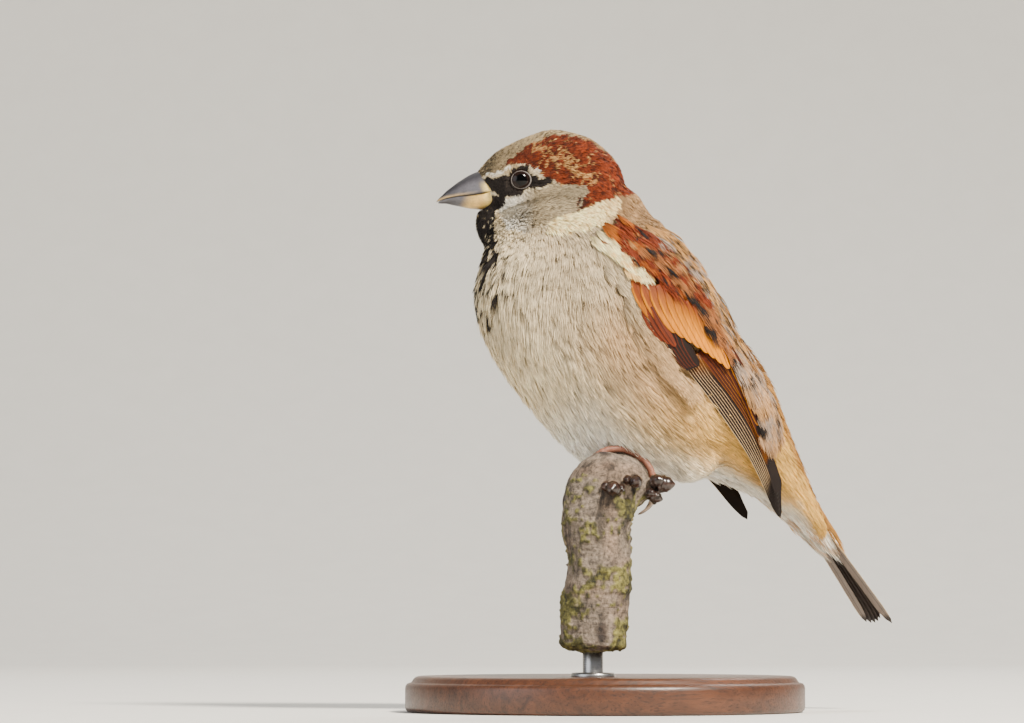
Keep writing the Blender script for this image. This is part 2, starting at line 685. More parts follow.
def feather_size(points):
    """Length, half width and number of barbs of the feathers at the points."""
    h = to_head(points)
    along, _ = body_place(points)
    head = ease(112, 122, points[:, 2])
    face = head * ease(-14, -22, h[:, 0])
    length = 7.6 + 1.4 * ease(-40, -10, along)
    length = blend(length, 3.4, head)
    length = blend(length, 1.55, face)
    length = blend(length, 2.6, head * ease(118, 124, points[:, 2]) * ease(2, -8, h[:, 0]) * (1 - face))
    width = blend(1.25, 0.62, head)
    width = blend(width, 0.34, face)
    return length, width, np.where(face > 0.5, 5, np.where(head > 0.5, 7, 12))


# Coat building


def scatter(skin, per_mm2, random):
    """Feather roots on the skin: their places, and their places on its map."""
    skin.calc_loop_triangles()
    triangles, co = skin.loop_triangles, points_of(skin)
    count = len(triangles)
    corner, loops = read(triangles, "vertices", kind=int), read(triangles, "loops", kind=int)
    area, uv = read(triangles, "area", 1)[:, 0], read(skin.uv_layers["OFBake"].uv, "vector", 2)
    wanted = area / MM**2 * per_mm2(co[corner].mean(axis=1))
    number = np.floor(wanted + random.random(count)).astype(int)
    which = np.repeat(np.arange(count), number)
    a, b = random.random((2, len(which)))
    flip = a + b > 1
    a, b = np.where(flip, 1 - a, a), np.where(flip, 1 - b, b)
    weight = np.stack([1 - a - b, a, b], -1)[..., None]
    return np.sum(co[corner[which]] * weight, axis=1), np.sum(uv[loops[which]] * weight, axis=1)


def nearest(surface, points):
    """The surface's nearest places to the points, and its normals there."""
    hits = np.array([surface.find_nearest(Vector(point * MM))[:2] for point in points])
    return hits[:, 0] / MM, hits[:, 1]


def laid_paths(roots, length, surface, inset, lift, yaw):
    """Four points along each feather, from its root on the skin out to the coat's outer surface, and the
    surface's normals there. yaw turns each a little off the way that it would lie."""
    paths, normals = np.empty((2, len(roots), 4, 3))
    paths[:, 0], normals[:, 0] = nearest(surface, roots)
    way = lie(paths[:, 0], normals[:, 0])
    way = way * np.cos(yaw)[:, None] + np.cross(normals[:, 0], way) * np.sin(yaw)[:, None]
    for k in (1, 2, 3):
        paths[:, k], normals[:, k] = nearest(surface, paths[:, k - 1] + way * (length / 3)[:, None])
        way = lie(paths[:, k], normals[:, k]) * 0.5 + way * 0.5
        way = unit(way - np.sum(way * normals[:, k], -1, keepdims=True) * normals[:, k])
    depth = np.linalg.norm(paths[:, 0] - roots, axis=1)
    for k, share in enumerate((1.0, 0.42, 0.12, 0.0)):
        sink = share * depth + inset * (1 - share)
        paths[:, k] -= normals[:, k] * (sink - lift * (k / 3) ** 2)[:, None]
    return paths, normals


MOST_TRIANGLES = 199_000  # in one piece
WANTED_TRIANGLES = 185_000
MAP_PATCH = 0.003  # the part of the map that one feather of the coat takes


def barbed(paths, normals, half_width, barbs, barb_width, shades, uv, random, clear=None, camber=0.25):
    """Feathers of tapering barbs that fan out from each path. shades are the colours at the sides, the
    middle and the base. Returns points, colours and map places of each barb's seven corners."""
    side_tone, middle_tone, base_tone = shades
    count = len(paths)
    u = np.linspace(-1, 1, barbs)[None] + random.normal(0, 0.5 / barbs, (count, barbs))
    reach = 1 - 0.32 * u**2 - 0.22 * random.random((count, barbs))
    share = np.array([0.0, 0.36, 0.74, 1.0])
    place = np.clip(share * reach[..., None], 0, 1) * 3
    first = np.minimum(place.astype(int), 2)
    part = (place - first)[..., None]
    rows = np.arange(count)[:, None, None]
    middle = paths[rows, first] * (1 - part) + paths[rows, first + 1] * part
    normal = unit(normals[rows, first] * (1 - part) + normals[rows, first + 1] * part)
    along = unit(paths[rows, first + 1] - paths[rows, first])
    across = unit(np.cross(normal, along))
    spread = 0.2 + 0.8 * ease(0, 0.7, share)
    curl = random.normal(0, 0.16, (count, barbs, 1)) * share**2
    aside = (u[..., None] * spread + curl) * half_width[:, None, None]
    rise = -camber * (u**2)[..., None] * half_width[:, None, None] * spread
    rise = rise + random.normal(0, 0.07, (count, barbs, 1)) * share
    centre = middle + across * aside[..., None] + normal * rise[..., None]
    roll = random.normal(0, 0.5, (count, barbs, 1, 1))
    flat = across * np.cos(roll) + normal * np.sin(roll)
    half = barb_width[:, None, None, None] * np.array([0.75, 1.0, 0.72, 0.0])[:, None]
    left, right = centre - flat * half, centre + flat * half
    points = np.stack([left[..., 0, :], right[..., 0, :], left[..., 1, :], right[..., 1, :],
                       left[..., 2, :], right[..., 2, :], centre[..., 3, :]], axis=2)
    if clear is not None:
        points = clear(points.reshape(-1, 3)).reshape(points.shape)
    toward_side = ease(0.2, 0.6, np.abs(u))[..., None]
    body = middle_tone[:, None] * (1 - toward_side) + side_tone[:, None] * toward_side
    light = 1 + random.normal(0, 0.10, (count, barbs, 1)) + random.normal(0, 0.09, (count, 1, 1))
    body = body * np.clip(light, 0.6, 1.5)
    level = np.array([0.0, 0.45, 0.9, 1.0])[[0, 0, 1, 1, 2, 2, 3]][:, None]
    colours = base_tone[:, None, None] * (1 - level) + body[:, :, None] * level
    colours[:, :, 6] = colours[:, :, 6] * 1.22
    patch = np.stack([np.broadcast_to(u[..., None] * MAP_PATCH / 2, (*u.shape, 7)),
                      np.broadcast_to((share[[0, 0, 1, 1, 2, 2, 3]] - 0.5) * MAP_PATCH, (*u.shape, 7))], -1)
    return points.reshape(-1, 3), np.clip(colours, 0, 1).reshape(-1, 3), (uv[:, None, None] + patch).reshape(-1, 2)


def strand_piece(name, built, material):
    """One object of many barbs, seven points and three faces each."""
    points, colours, uv = (np.concatenate(part) for part in zip(*built))
    count = len(points) // 7
    pattern = np.array([0, 1, 3, 2, 2, 3, 5, 4, 4, 5, 6])
    corners = (np.arange(count)[:, None] * 7 + pattern).ravel()
    starts = (np.arange(count)[:, None] * 11 + np.array([0, 4, 8])).ravel()
    mesh = bpy.data.meshes.new(name)
    mesh.vertices.add(len(points))
    mesh.loops.add(len(corners))
    mesh.polygons.add(len(starts))
    mesh.vertices.foreach_set("co", (points * MM).astype(np.float32).ravel())
    mesh.loops.foreach_set("vertex_index", corners.astype(np.int32))
    mesh.polygons.foreach_set("loop_start", starts.astype(np.int32))
    mesh.polygons.foreach_set("use_smooth", np.ones(len(starts), bool))
    mesh.update(calc_edges=True)
    mesh.uv_layers.new(name="OFBake").uv.foreach_set("vector", uv[corners].astype(np.float32).ravel())
    paint(mesh, colours)
    mesh.materials.append(material)
    if 5 * count > MOST_TRIANGLES:
        raise RuntimeError(f"{name} has {5 * count} triangles, over what one piece may have")
    settle(linked(name, mesh), "plumage")


def past_face(points):
    """The points moved out of the eyes' openings, and kept off the branch."""
    h = to_head(points)
    for hand, _ in SIDES:
        ring = np.stack([h[:, 0] - EYE[0], h[:, 2] - EYE[2]], -1)
        distance = np.linalg.norm(ring, axis=1)
        wanted = EYE_OPENING + 0.42
        near = (distance < wanted) & (h[:, 1] * hand > 5)
        ring = unit(ring) * (wanted - distance)[:, None] * near[:, None]
        h[:, 0] += ring[:, 0]
        h[:, 2] += ring[:, 1]
    return off_perch(from_head(h), 0.15)


# Body


def body_mesh(name, thinner, voxel):
    """The flesh as one closed skin, thinner by that share of the coat's depth."""
    bm = bmesh.new()
    loft(bm, HEAD, cap=0.1, around=64, rings=64, thinner=thinner, place=from_head)
    loft(bm, TRUNK, cap=0.09, around=72, rings=80, thinner=thinner)
    loft(bm, THROAT, side=(0.37, 0.93, 0), cap=0.12, thinner=thinner)
    for hand, _ in SIDES:
        thigh = [((x, y * hand, z), *rest) for (x, y, z), *rest in THIGH]
        loft(bm, thigh, cap=0.14, thinner=thinner)
    made = fused(name, bm, voxel, 6)
    move_points(made, off_perch(points_of(made), 0.1 if thinner else 0.3))
    return made


def unwrapped(piece):
    """Gives the piece a flat unwrap of its own shape."""
    bpy.context.view_layer.objects.active = piece
    piece.select_set(True)
    bpy.ops.object.mode_set(mode="EDIT")
    bpy.ops.mesh.select_all(action="SELECT")
    bpy.ops.uv.smart_project(angle_limit=math.radians(66), island_margin=0.005)
    bpy.ops.object.mode_set(mode="OBJECT")
    piece.select_set(False)


COAT_COLOURS = ("white", "breast", "breast_side", "buff", "flank", "cream", "black", "chestnut", "mantle", "rump",
                "crown", "cheek", "silver", "down")


def colour_set(plumage):
    """The plumage's colours by name."""
    return {name: np.array(getattr(plumage, name)) for name in COAT_COLOURS}


def coat_regions(points):
    """Which piece of the coat each root belongs to."""
    h = to_head(points)
    along, _ = body_place(points)
    left = points[:, 1] < 0
    region = np.where(along < -62, 4, np.where(along < -32, 6, 8)) + left
    region = np.where(points[:, 2] > 114, 2 + left, region)
    return np.where((points[:, 2] > 121) & (h[:, 0] < 9), np.where(h[:, 0] < -17, 0, 1), region)


COAT_NAMES = [
    "coat_face", "coat_crown", "coat_neck_right", "coat_neck_left", "coat_breast_right",
    "coat_breast_left", "coat_belly_right", "coat_belly_left", "coat_vent_right", "coat_vent_left",
]


def bill_clear(points):
    """False where the bill comes out of the face, so that nothing grows on it."""
    h = to_head(points)
    edge = np.interp(h[:, 2], [124.6, 125.2, 125.8, 126.6, 128.2, 129, 130.4, 131.5, 132.3, 133.3, 134.6, 135],
                     [-34, -32.6, -29.9, -29.4, -28.9, -27.8, -28.9, -30.4, -31.8, -33, -33.4, -36])
    return h[:, 0] > edge


def make_coat(context):
    birds = context.scene.sparrow_plumage
    random = np.random.default_rng(11)
    skin = bpy.data.objects["skin"].data
    surface = outer_surface()
    colours = colour_set(birds)
    material = plumage_finish()

    def per_mm2(points):
        length, width, _ = feather_size(points)
        cover = birds.fullness * np.ones(len(points))
        h = to_head(points)
        low, top = np.array(WING_REST[:11])[::-1], np.array(WING_TOP)
        hidden = points[:, 0] > np.interp(points[:, 2], low[:, 2], low[:, 0]) + 6
        hidden &= points[:, 0] < np.interp(points[:, 2], top[:, 0], top[:, 1]) - 5
        hidden &= (points[:, 2] > 60) & (points[:, 2] < 112) & (np.abs(points[:, 1]) > 12)
        cover = np.where(hidden, cover * 0.3, cover)
        cover = cover * np.where(bill_clear(points), 1, 0)
        cover = np.where((off_eye(h) < EYE_OPENING + 0.1) & (np.abs(h[:, 1]) > 5), 0, cover)
        return cover / (length * width)

    roots, uv = scatter(skin, per_mm2, random)
    region = coat_regions(roots)
    for number, name in enumerate(COAT_NAMES):
        mine = np.flatnonzero(region == number)
        mine = mine[np.argsort(roots[mine, 0], kind="stable")]
        triangles = 5 * feather_size(roots[mine])[2].sum()
        chunks = np.array_split(mine, max(1, math.ceil(triangles / WANTED_TRIANGLES)))
        for order, chunk in enumerate(chunks):
            place, map_place = roots[chunk], uv[chunk]
            length, width, barbs = feather_size(place)
            length = length * random.uniform(0.75, 1.2, len(place))
            head = ease(112, 122, place[:, 2])
            stray = random.random(len(place)) < 0.12 * (1 - head)
            lift = random.normal(0.0, 0.12, len(place)) * (1 - 0.7 * head)
            lift = lift + stray * random.uniform(0.2, 0.7, len(place))
            inset = 0.25 * random.random(len(place)) * (1 - 0.6 * head) + 0.05 - 0.3 * ease(133, 139, place[:, 2])
            yaw = random.normal(0, 0.17, len(place)) * (1 - 0.5 * head)
            paths, normals = laid_paths(place, length, surface, inset, lift, yaw)
            shades = markings(paths[:, 2], random, colours)
            parts = []
            for size in np.unique(barbs):
                some = barbs == size
                strand = birds.strand_width * np.interp(length[some], [1.5, 6], [0.72, 1.0])
                parts.append(
                    barbed(paths[some], normals[some], width[some], int(size), strand,
                           [shade[some] for shade in shades], map_place[some], random, past_face)
                )
            strand_piece(f"{name}_{order + 1}", parts, material)


# Vanes: the wing's and tail's stiff feathers


def vane_template(rows, columns):
    """A flat grid of points, from the shaft's root to its tip and from one edge to the other."""
    bm = bmesh.new()
    bmesh.ops.create_grid(bm, x_segments=columns - 1, y_segments=rows - 1, size=1)
    bm.verts.ensure_lookup_table()
    co = np.array([v.co[:2] for v in bm.verts])
    order = np.lexsort((co[:, 0].round(4), co[:, 1].round(4)))
    rank = np.empty(len(order), int)
    rank[order] = np.arange(len(order))
    faces = np.array([[rank[v.index] for v in f.verts][::-1] for f in bm.faces])
    bm.free()
    return faces


VANE_ROWS, VANE_COLUMNS = 34, 15
VANE_THICKNESS = 0.06


def vane(path, normal, outer, inner, look, camber, blunt, seed, taper=0.45):
    """One feather along a path with normals. outer and inner are its vanes' widths; look is a dict of its colours
    and edge widths. Returns its points, colours and its own map in millimetres."""
    share = np.linspace(0, 1, VANE_ROWS) ** 0.9
    middle, up = path(share), unit(normal(share))
    along = unit(np.gradient(middle, axis=0))
    up = unit(up - np.sum(up * along, -1, keepdims=True) * along)
    across = np.cross(up, along)
    body = taper + (1 - taper) * ease(0, 0.35, share)
    tip = np.sqrt(np.maximum(1 - np.clip((share - (1 - blunt)) / blunt, 0, 1) ** 2, 0)) * 0.985 + 0.015
    ragged = 1 + 0.035 * mottle(np.stack([share * 26, share * 0 + seed, share * 0], -1), 1.0, seed % 7)
    a, b = outer * body * tip * ragged, inner * body * tip * ragged
    edge_a = np.minimum(look["outer_edge"], 0.6 * a)
    edge_b = np.minimum(look["inner_edge"], 0.6 * b)
    left = [-a, -a + 0.72 * edge_a, -a + 1.15 * edge_a]
    right = [b - 1.15 * edge_b, b - 0.72 * edge_b, b]
    inside_a = [-a + 1.15 * edge_a + (a - 1.15 * edge_a - 0.14) * t for t in (0.33, 0.66, 0.96)]
    inside_b = [0.14 + (b - 1.15 * edge_b - 0.14) * t for t in (0.04, 0.34, 0.67)]
    aside = np.stack(left + inside_a + [-0.1 + 0 * a, 0 * a, 0.1 + 0 * a] + inside_b + right, 1)
    aside = np.clip(aside, -a[:, None], b[:, None])
    reach = np.where(aside < 0, a[:, None], b[:, None])
    across_share = np.abs(aside) / np.maximum(reach, 1e-6)
    height = -camber * across_share**2 * reach
    height[:, 6:9] += np.array([0.01, 0.05, 0.01]) * (1 - 0.8 * share[:, None])
    points = middle[:, None] + across[:, None] * aside[..., None] + up[:, None] * height[..., None]
    length = np.linalg.norm(np.diff(middle, axis=0), axis=1).sum()
    lateral = np.stack([aside, (share * length)[:, None] - np.abs(aside) * 1.3], -1)

    colours = np.tile(look["body"], (VANE_ROWS, VANE_COLUMNS, 1)).astype(float)
    colours[:, :2] = look["edge_a"]
    colours[:, -2:] = look["edge_b"]
    tipped = ease(1 - look["tip_share"], 1 - 0.6 * look["tip_share"], share + 0.04 * (across_share.mean(1) - 0.5))
    colours = blend(colours, look["tip"], tipped[:, None] * np.ones(VANE_COLUMNS))
    pale_root = ease(look.get("root_share", 0.01), 0.0, share)
    colours = blend(colours, look.get("root", look["body"]), pale_root[:, None] * np.ones(VANE_COLUMNS))
    shaft = look.get("shaft", look["body"])
    colours[:, 6:9] = blend(colours[:, 6:9], shaft, 0.7)
    worn = 1 + 0.10 * mottle(points, 2.2, seed % 5)[..., None]
    return points.reshape(-1, 3), np.clip(colours * worn, 0, 1).reshape(-1, 3), lateral.reshape(-1, 2), False


def vane_piece(name, feathers, *replaced):
    """One object of many vanes. Each has its own cell on the map that colours are kept in."""
    faces = vane_template(VANE_ROWS, VANE_COLUMNS)
    each = VANE_ROWS * VANE_COLUMNS
    points, colours, lateral = (np.concatenate([feather[k] for feather in feathers]) for k in range(3))
    turned = [faces[:, ::-1] if feather[3] else faces for feather in feathers]
    corners = np.concatenate([n * each + own for n, own in enumerate(turned)])
    mesh = bpy.data.meshes.new(name)
    mesh.from_pydata((points * MM).tolist(), [], corners.tolist())
    paint(mesh, colours)
    flat = corners.ravel()
    mesh.uv_layers.new(name="Vane").uv.foreach_set("vector", lateral[flat].ravel())
    columns = max(1, math.ceil(math.sqrt(len(feathers) * 2.4)))
    rows = math.ceil(len(feathers) / columns)
    cell = np.arange(len(feathers))
    grid = np.stack(np.meshgrid(np.linspace(0.06, 0.94, VANE_COLUMNS), np.linspace(0.03, 0.97, VANE_ROWS)), -1)
    spot = np.stack([cell % columns, cell // columns], -1)[:, None, None]
    uv = ((spot + grid) / np.array([columns, rows])).reshape(-1, 2)
    mesh.uv_layers.new(name="OFBake").uv.foreach_set("vector", uv[flat].ravel())
    mesh.update(calc_edges=True)
    piece = shown(name, mesh, vane_finish())
    sheet = piece.modifiers.new("Thickness", "SOLIDIFY")
    sheet.thickness, sheet.offset = VANE_THICKNESS * MM, -1
    settle(piece, "flight_feathers", *replaced)


def wing_surface():
    """y of the folded left wing over each x and z, as a smooth sheet through where it lies."""
    rest = np.array(WING_REST, float)

    def powers(x, z):
        x, z = (np.asarray(x, float) - 15) / 30, (np.asarray(z, float) - 85) / 40
        return np.stack([x**i * z**j for i in range(4) for j in range(4 - i)], -1)

    fit = np.linalg.lstsq(powers(rest[:, 0], rest[:, 2]), rest[:, 1], rcond=None)[0]
    return lambda x, z: powers(x, z) @ fit


def on_wing(sheet, place, height=0.0):
    """Points over the left wing at x and z places, with the outward normals."""
    x, z = np.asarray(place, float)[..., 0], np.asarray(place, float)[..., 1]
    y = sheet(x, z)
    slope_x = (sheet(x + 0.5, z) - sheet(x - 0.5, z)) / 1.0
    slope_z = (sheet(x, z + 0.5) - sheet(x, z - 0.5)) / 1.0
    normal = unit(np.stack([slope_x, -np.ones_like(x), slope_z], -1))
    return np.stack([x, y, z], -1) + normal * np.asarray(height)[..., None], normal


def wing_row(sheet, count, first, last, outer, inner, look, heights, blunt, seed, camber):
    """A row of feathers whose root, bend and tip go evenly from the first one's to the last one's, as do the
    widths of their vanes. The first lies lowest."""
    feathers = []
    for number in range(count):
        share = number / (count - 1)
        flat = spline([blend(a, b, share) for a, b in zip(first, last)])
        rise = heights[0] + (heights[1] - heights[0]) * number / (count - 1)
        path = lambda t: on_wing(sheet, flat(t), rise + 0 * t)[0]
        normal = lambda t: on_wing(sheet, flat(t), 0 * t)[1]
        style = look(share) if callable(look) else look
        wide, deep = blend(*outer, share), blend(*inner, share)
        feathers.append(vane(path, normal, wide, deep, style, camber, blunt, seed + number))
    return feathers


def wing_feathers(wing, birds):
    """The left wing's rows of stiff feathers, by name, each from the lowest up."""
    sheet = wing_surface()
    quill, edge, orange = (np.array(c) for c in (wing.quill, wing.pale_edge, wing.orange))
    chestnut, black = np.array(birds.chestnut), np.array(birds.black)
    deep = orange * 0.55 + chestnut * 0.3

    def primary(share):
        return {"body": quill, "edge_a": blend(edge * 0.9, deep, 0.3 * share), "edge_b": quill, "tip": quill * 0.7,
                "outer_edge": 0.09, "inner_edge": 0.1, "tip_share": 0.24, "shaft": quill * 0.6,
                "root": blend(quill, deep, 0.5), "root_share": 0.16}

    def secondary(share):
        return {"body": blend(quill, chestnut, 0.15), "edge_a": blend(deep * 0.6, orange, 0.2 * share), "edge_b": quill,
                "tip": quill, "outer_edge": 0.12, "inner_edge": 0.1, "tip_share": 0.06, "shaft": quill * 0.6,
                "root": blend(quill, chestnut, 0.5), "root_share": 0.3}

    def tertial(share):
        return {"body": blend(quill, chestnut, 0.2), "edge_a": blend(deep * 0.5, orange, share), "edge_b": quill,
                "tip": blend(deep * 0.5, orange, share), "outer_edge": 0.2 + 0.3 * share, "inner_edge": 0.1,
                "tip_share": 0.05, "shaft": black}

    def greater(share):
        body = blend(blend(quill, chestnut, 0.8), orange * 0.8, 0.12 + 0.7 * ease(0.05, 0.6, share))
        body = blend(body, quill, ease(0.7, 1.0, share) * 0.8)
        return {"body": body, "edge_a": blend(body, orange, 0.85), "edge_b": blend(body, orange, 0.5),
                "tip": blend(body, orange * 1.12, 0.35 + 0.65 * share), "outer_edge": 0.6, "inner_edge": 0.5,
                "tip_share": 0.5, "shaft": blend(body, quill, 0.4), "root": blend(quill, chestnut, 0.7),
                "root_share": 0.5}

    bastard = {"body": blend(quill, chestnut, 0.5), "edge_a": blend(quill, chestnut, 0.8), "edge_b": quill,
               "tip": chestnut * 0.8, "outer_edge": 0.3, "inner_edge": 0.2, "tip_share": 0.1, "shaft": quill}
    dark = {"body": quill, "edge_a": blend(quill, chestnut, 0.35), "edge_b": quill, "tip": quill, "outer_edge": 0.3,
            "inner_edge": 0.2, "tip_share": 0.1, "shaft": black}

    rows = {}
    rows["primaries"] = wing_row(
        sheet, 7,
        [(8.3, 88), (12.4, 83.6), (17.0, 79.5), (21.4, 75.4), (26.8, 70.3), (32.6, 64.6), (37.8, 58.4), (41.7, 53),
         (45.1, 48.6)],
        [(13.5, 88.5), (17.4, 83.8), (22.2, 80), (27.6, 75), (32.5, 69.8), (36.4, 64.8), (39.2, 60.6), (41, 57.4),
         (42.4, 54.6)],
        (0.8, 0.8), (2.2, 2.4), primary, (-0.2, 0.7), blunt=0.12, seed=3, camber=0.04,
    )
    rows["secondaries"] = wing_row(
        sheet, 5,
        [(13.5, 89), (18.2, 84.6), (23.6, 80), (28.7, 75.2), (33.4, 69.8), (36.6, 65.2), (38.9, 61.6)],
        [(18, 89), (22.4, 85.2), (27.2, 80.6), (31.4, 75.8), (34.9, 70.8), (37, 66.8), (38.5, 63.6)],
        (0.8, 0.9), (2.0, 2.0), secondary, (0.82, 1.3), blunt=0.14, seed=17, camber=0.04,
    )
    rows["tertials"] = wing_row(
        sheet, 3,
        [(18.6, 91.5), (22, 86.8), (25.4, 82.4), (28.4, 78.4), (30.8, 75), (32.8, 71.8), (34.4, 68.6)],
        [(19.8, 94), (22.8, 90), (25.6, 86.2), (28, 82.8), (29.8, 79.8), (31.2, 77.2), (32.4, 74.8)],
        (1.1, 1.3), (1.6, 1.7), tertial, (1.4, 1.75), blunt=0.26, seed=29, camber=0.08,
    )
    rows["primary_coverts"] = wing_row(
        sheet, 5,
        [(2.0, 96), (4.4, 92), (7.8, 87.6), (10.4, 84.6)], [(7.5, 94), (9.4, 90.6), (11.4, 87.6), (13, 85.6)],
        (0.9, 0.9), (1.3, 1.3), dark, (0.85, 1.35), seed=37, blunt=0.3, camber=0.08,
    )
    rows["alula"] = wing_row(
        sheet, 3,
        [(-1.6, 101), (0.2, 96.4), (3.6, 91.6)], [(0.6, 100), (3.2, 95.2), (6.6, 90.2)],
        (0.9, 0.9), (1.3, 1.3), bastard, (1.0, 1.3), seed=43, blunt=0.35, camber=0.08,
    )
    rows["greater_coverts"] = wing_row(
        sheet, 10,
        [(-3.6, 108), (-1.8, 102.4), (2.0, 96)], [(13.4, 99.5), (17.6, 92.4), (21.8, 85.2)],
        (1.5, 1.6), (1.9, 2.1), greater, (1.1, 2.45), seed=51, blunt=0.32, camber=0.05,
    )
    return rows


def across_body(feathers):
    """The same feathers on the bird's other side."""
    return [(points * MIRROR, colours, lateral, not flip) for points, colours, lateral, flip in feathers]


@functools.lru_cache(maxsize=None)
def outer_surface():
    """The coat's outer surface, to lay feathers on."""
    outline = body_mesh("outline", 0.0, 0.9)
    surface = BVHTree.FromPolygons([v.co for v in outline.vertices], [p.vertices for p in outline.polygons])
    bpy.data.meshes.remove(outline)
    return surface


WING_TOP = [  # z and x of the folded wing's upper edge
    (60, 40), (67, 37.9), (77, 33.9), (83, 29.2), (88.4, 23.3), (95, 19.7), (106.5, 18.8), (115, 15.2), (125, 12),
]


def beside(x, z):
    """Where a level line from the left meets the coat's outer surface, in metres, with its normal there."""
    return outer_surface().ray_cast(Vector((x * MM, -0.06, z * MM)), Vector((0, 1, 0)))[:2]


def over_wing(sheet, place, height):
    """Points over the left wing, which go on over the back past the wing's upper edge."""
    points, normal = on_wing(sheet, place, height)
    edge_z, edge_x = np.array(WING_TOP).T
    past = ease(-2.0, 3.5, points[:, 0] - np.interp(points[:, 2], edge_z, edge_x))
    for n in np.flatnonzero(past > 0.01):
        x, _, z = points[n]
        found, facing = beside(x, z)
        if found is None:
            found, facing = outer_surface().find_nearest(Vector(points[n] * MM))[:2]
        body = np.array(found) / MM + np.array(facing) * (0.25 + 0.35 * height[n])
        points[n] = points[n] + (body - points[n]) * past[n]
        normal[n] = unit(normal[n] * (1 - past[n]) + np.array(facing) * past[n])
    return points, normal


def soft_group(sheet, random, count, low, high, length, dip, lift):
    """Places for soft feathers between two lines on the wing, each as a path with its normals."""
    share, spread = random.random(count), random.random(count)
    root = blend(spline(low)(share), spline(high)(share), spread) + random.normal(0, 0.35, (count, 2))
    reach = (length[0] + (length[1] - length[0]) * share) * random.uniform(0.85, 1.15, count)
    slope = np.radians(dip[0] + (dip[1] - dip[0]) * share + random.normal(0, 4, count))
    way = np.stack([np.cos(slope), -np.sin(slope)], -1)
    paths, normals = np.empty((2, count, 4, 3))
    for k in range(4):
        height = np.interp(k / 3, [0, 0.5, 1], [lift[0], lift[1], lift[1] + 0.1]) + random.normal(0, 0.12, count)
        paths[:, k], normals[:, k] = over_wing(sheet, root + way * (reach * k / 3)[:, None], height)
    return paths, normals, share, spread


def wing_tufts(sheet, random, colours):
    """The soft feathers of the left wing and shoulder, as groups of paths, normals, half widths and colours."""
    black, chestnut, buff, cream = (colours[name] for name in ("black", "chestnut", "buff", "cream"))
    silver, orange, mantle = colours["silver"], colours["orange"], colours["mantle"]
    groups = []

    def add(count, low, high, length, dip, lift, width, tones):
        paths, normals, share, spread = soft_group(sheet, random, count, low, high, length, dip, lift)
        side, middle, base = tones(share, spread, random.random(count))
        groups.append((paths, normals, np.full(count, width), side, middle, base))

    def pick(*choices):
        """The last colour whose test holds for each feather."""
        result = np.tile(choices[0], (len(choices[1][0]), 1)).astype(float)
        for test, value in choices[1:]:
            result = np.where(np.asarray(test)[:, None], value, result)
        return result

    def lesser(share, spread, luck):
        side = pick(chestnut, (luck > 0.72, blend(chestnut, orange, 0.3)), (luck > 0.92, buff), (luck < 0.16, black))
        return side, pick(chestnut * 0.8, (luck < 0.3, black), (luck > 0.72, blend(chestnut, orange, 0.25))), side * 0.4

    def bar(share, spread, luck):
        side = pick(cream, (luck > 0.7, cream * np.array([0.9, 0.7, 0.48])), (luck > 0.93, chestnut))
        return side, side * 0.94, np.tile(blend(black, cream, 0.25), (len(luck), 1))

    def shoulder(share, spread, luck):
        dark = (spread < 0.1) & (share > 0.1) & (luck < 0.8)
        side = pick(blend(chestnut, buff, 0.35), (spread > 0.3, blend(buff, chestnut, 0.3)), (spread > 0.5, buff),
                    ((luck > 0.72) & (spread > 0.4), silver), ((spread > 0.8) & (luck < 0.3), mantle), (dark, black))
        red = (luck < 0.5) & (spread < 0.5) & (share < 0.55) & ~dark
        side = np.where(red[:, None], chestnut, side)
        streak = (luck > 0.35) & (luck < 0.68) & (spread > 0.2)
        return side, np.where((streak | dark)[:, None], black, side * 0.85), side * 0.45

    def hoary(share, spread, luck):
        side = pick(silver, (luck > 0.7, blend(silver, buff, 0.5)), (luck < 0.12, black))
        side = blend(side, buff, 0.65 * ease(0.6, 0.95, share))
        return side, np.where((luck < 0.17)[:, None], black, side * 0.94), side * 0.5

    add(90, [(28.6, 80.5), (32.5, 74), (35.8, 68)], [(36, 84), (39, 78), (41, 72)],
        (8, 7), (56, 60), (1.0, 1.9), 1.3, hoary)
    add(280, [(-3.8, 116.6), (1.0, 112), (8.4, 105), (13.2, 98.4), (17.2, 92.4)],
        [(6, 121.5), (13, 114.5), (20, 106), (26, 97.5), (30.5, 91)], (7.5, 10), (50, 54), (1.6, 2.9), 1.5, shoulder)
    add(190, [(17.5, 95), (21.6, 90), (25.4, 85), (28.6, 80.4)], [(26, 96.5), (30.5, 90.5), (34.5, 84.5), (37, 80)],
        (9, 8.5), (52, 58), (1.5, 2.7), 1.4, hoary)
    add(150, [(-9.6, 119.5), (-5.4, 115.2), (-1.2, 111), (3.6, 106)],
        [(-4.5, 122.5), (2, 118), (7, 112.5), (10, 107.5)],
        (6.5, 7.5), (52, 56), (0.9, 2.2), 1.2, lesser)
    add(110, [(-12.6, 118.2), (-9.6, 115.2), (-6.8, 112.2), (-3.8, 109.2)],
        [(-8.2, 120.0), (-5.6, 116.4), (-3.6, 112.8), (-0.8, 109.0)],
        (5.5, 6.0), (56, 58), (0.5, 1.7), 0.9, bar)
    return groups


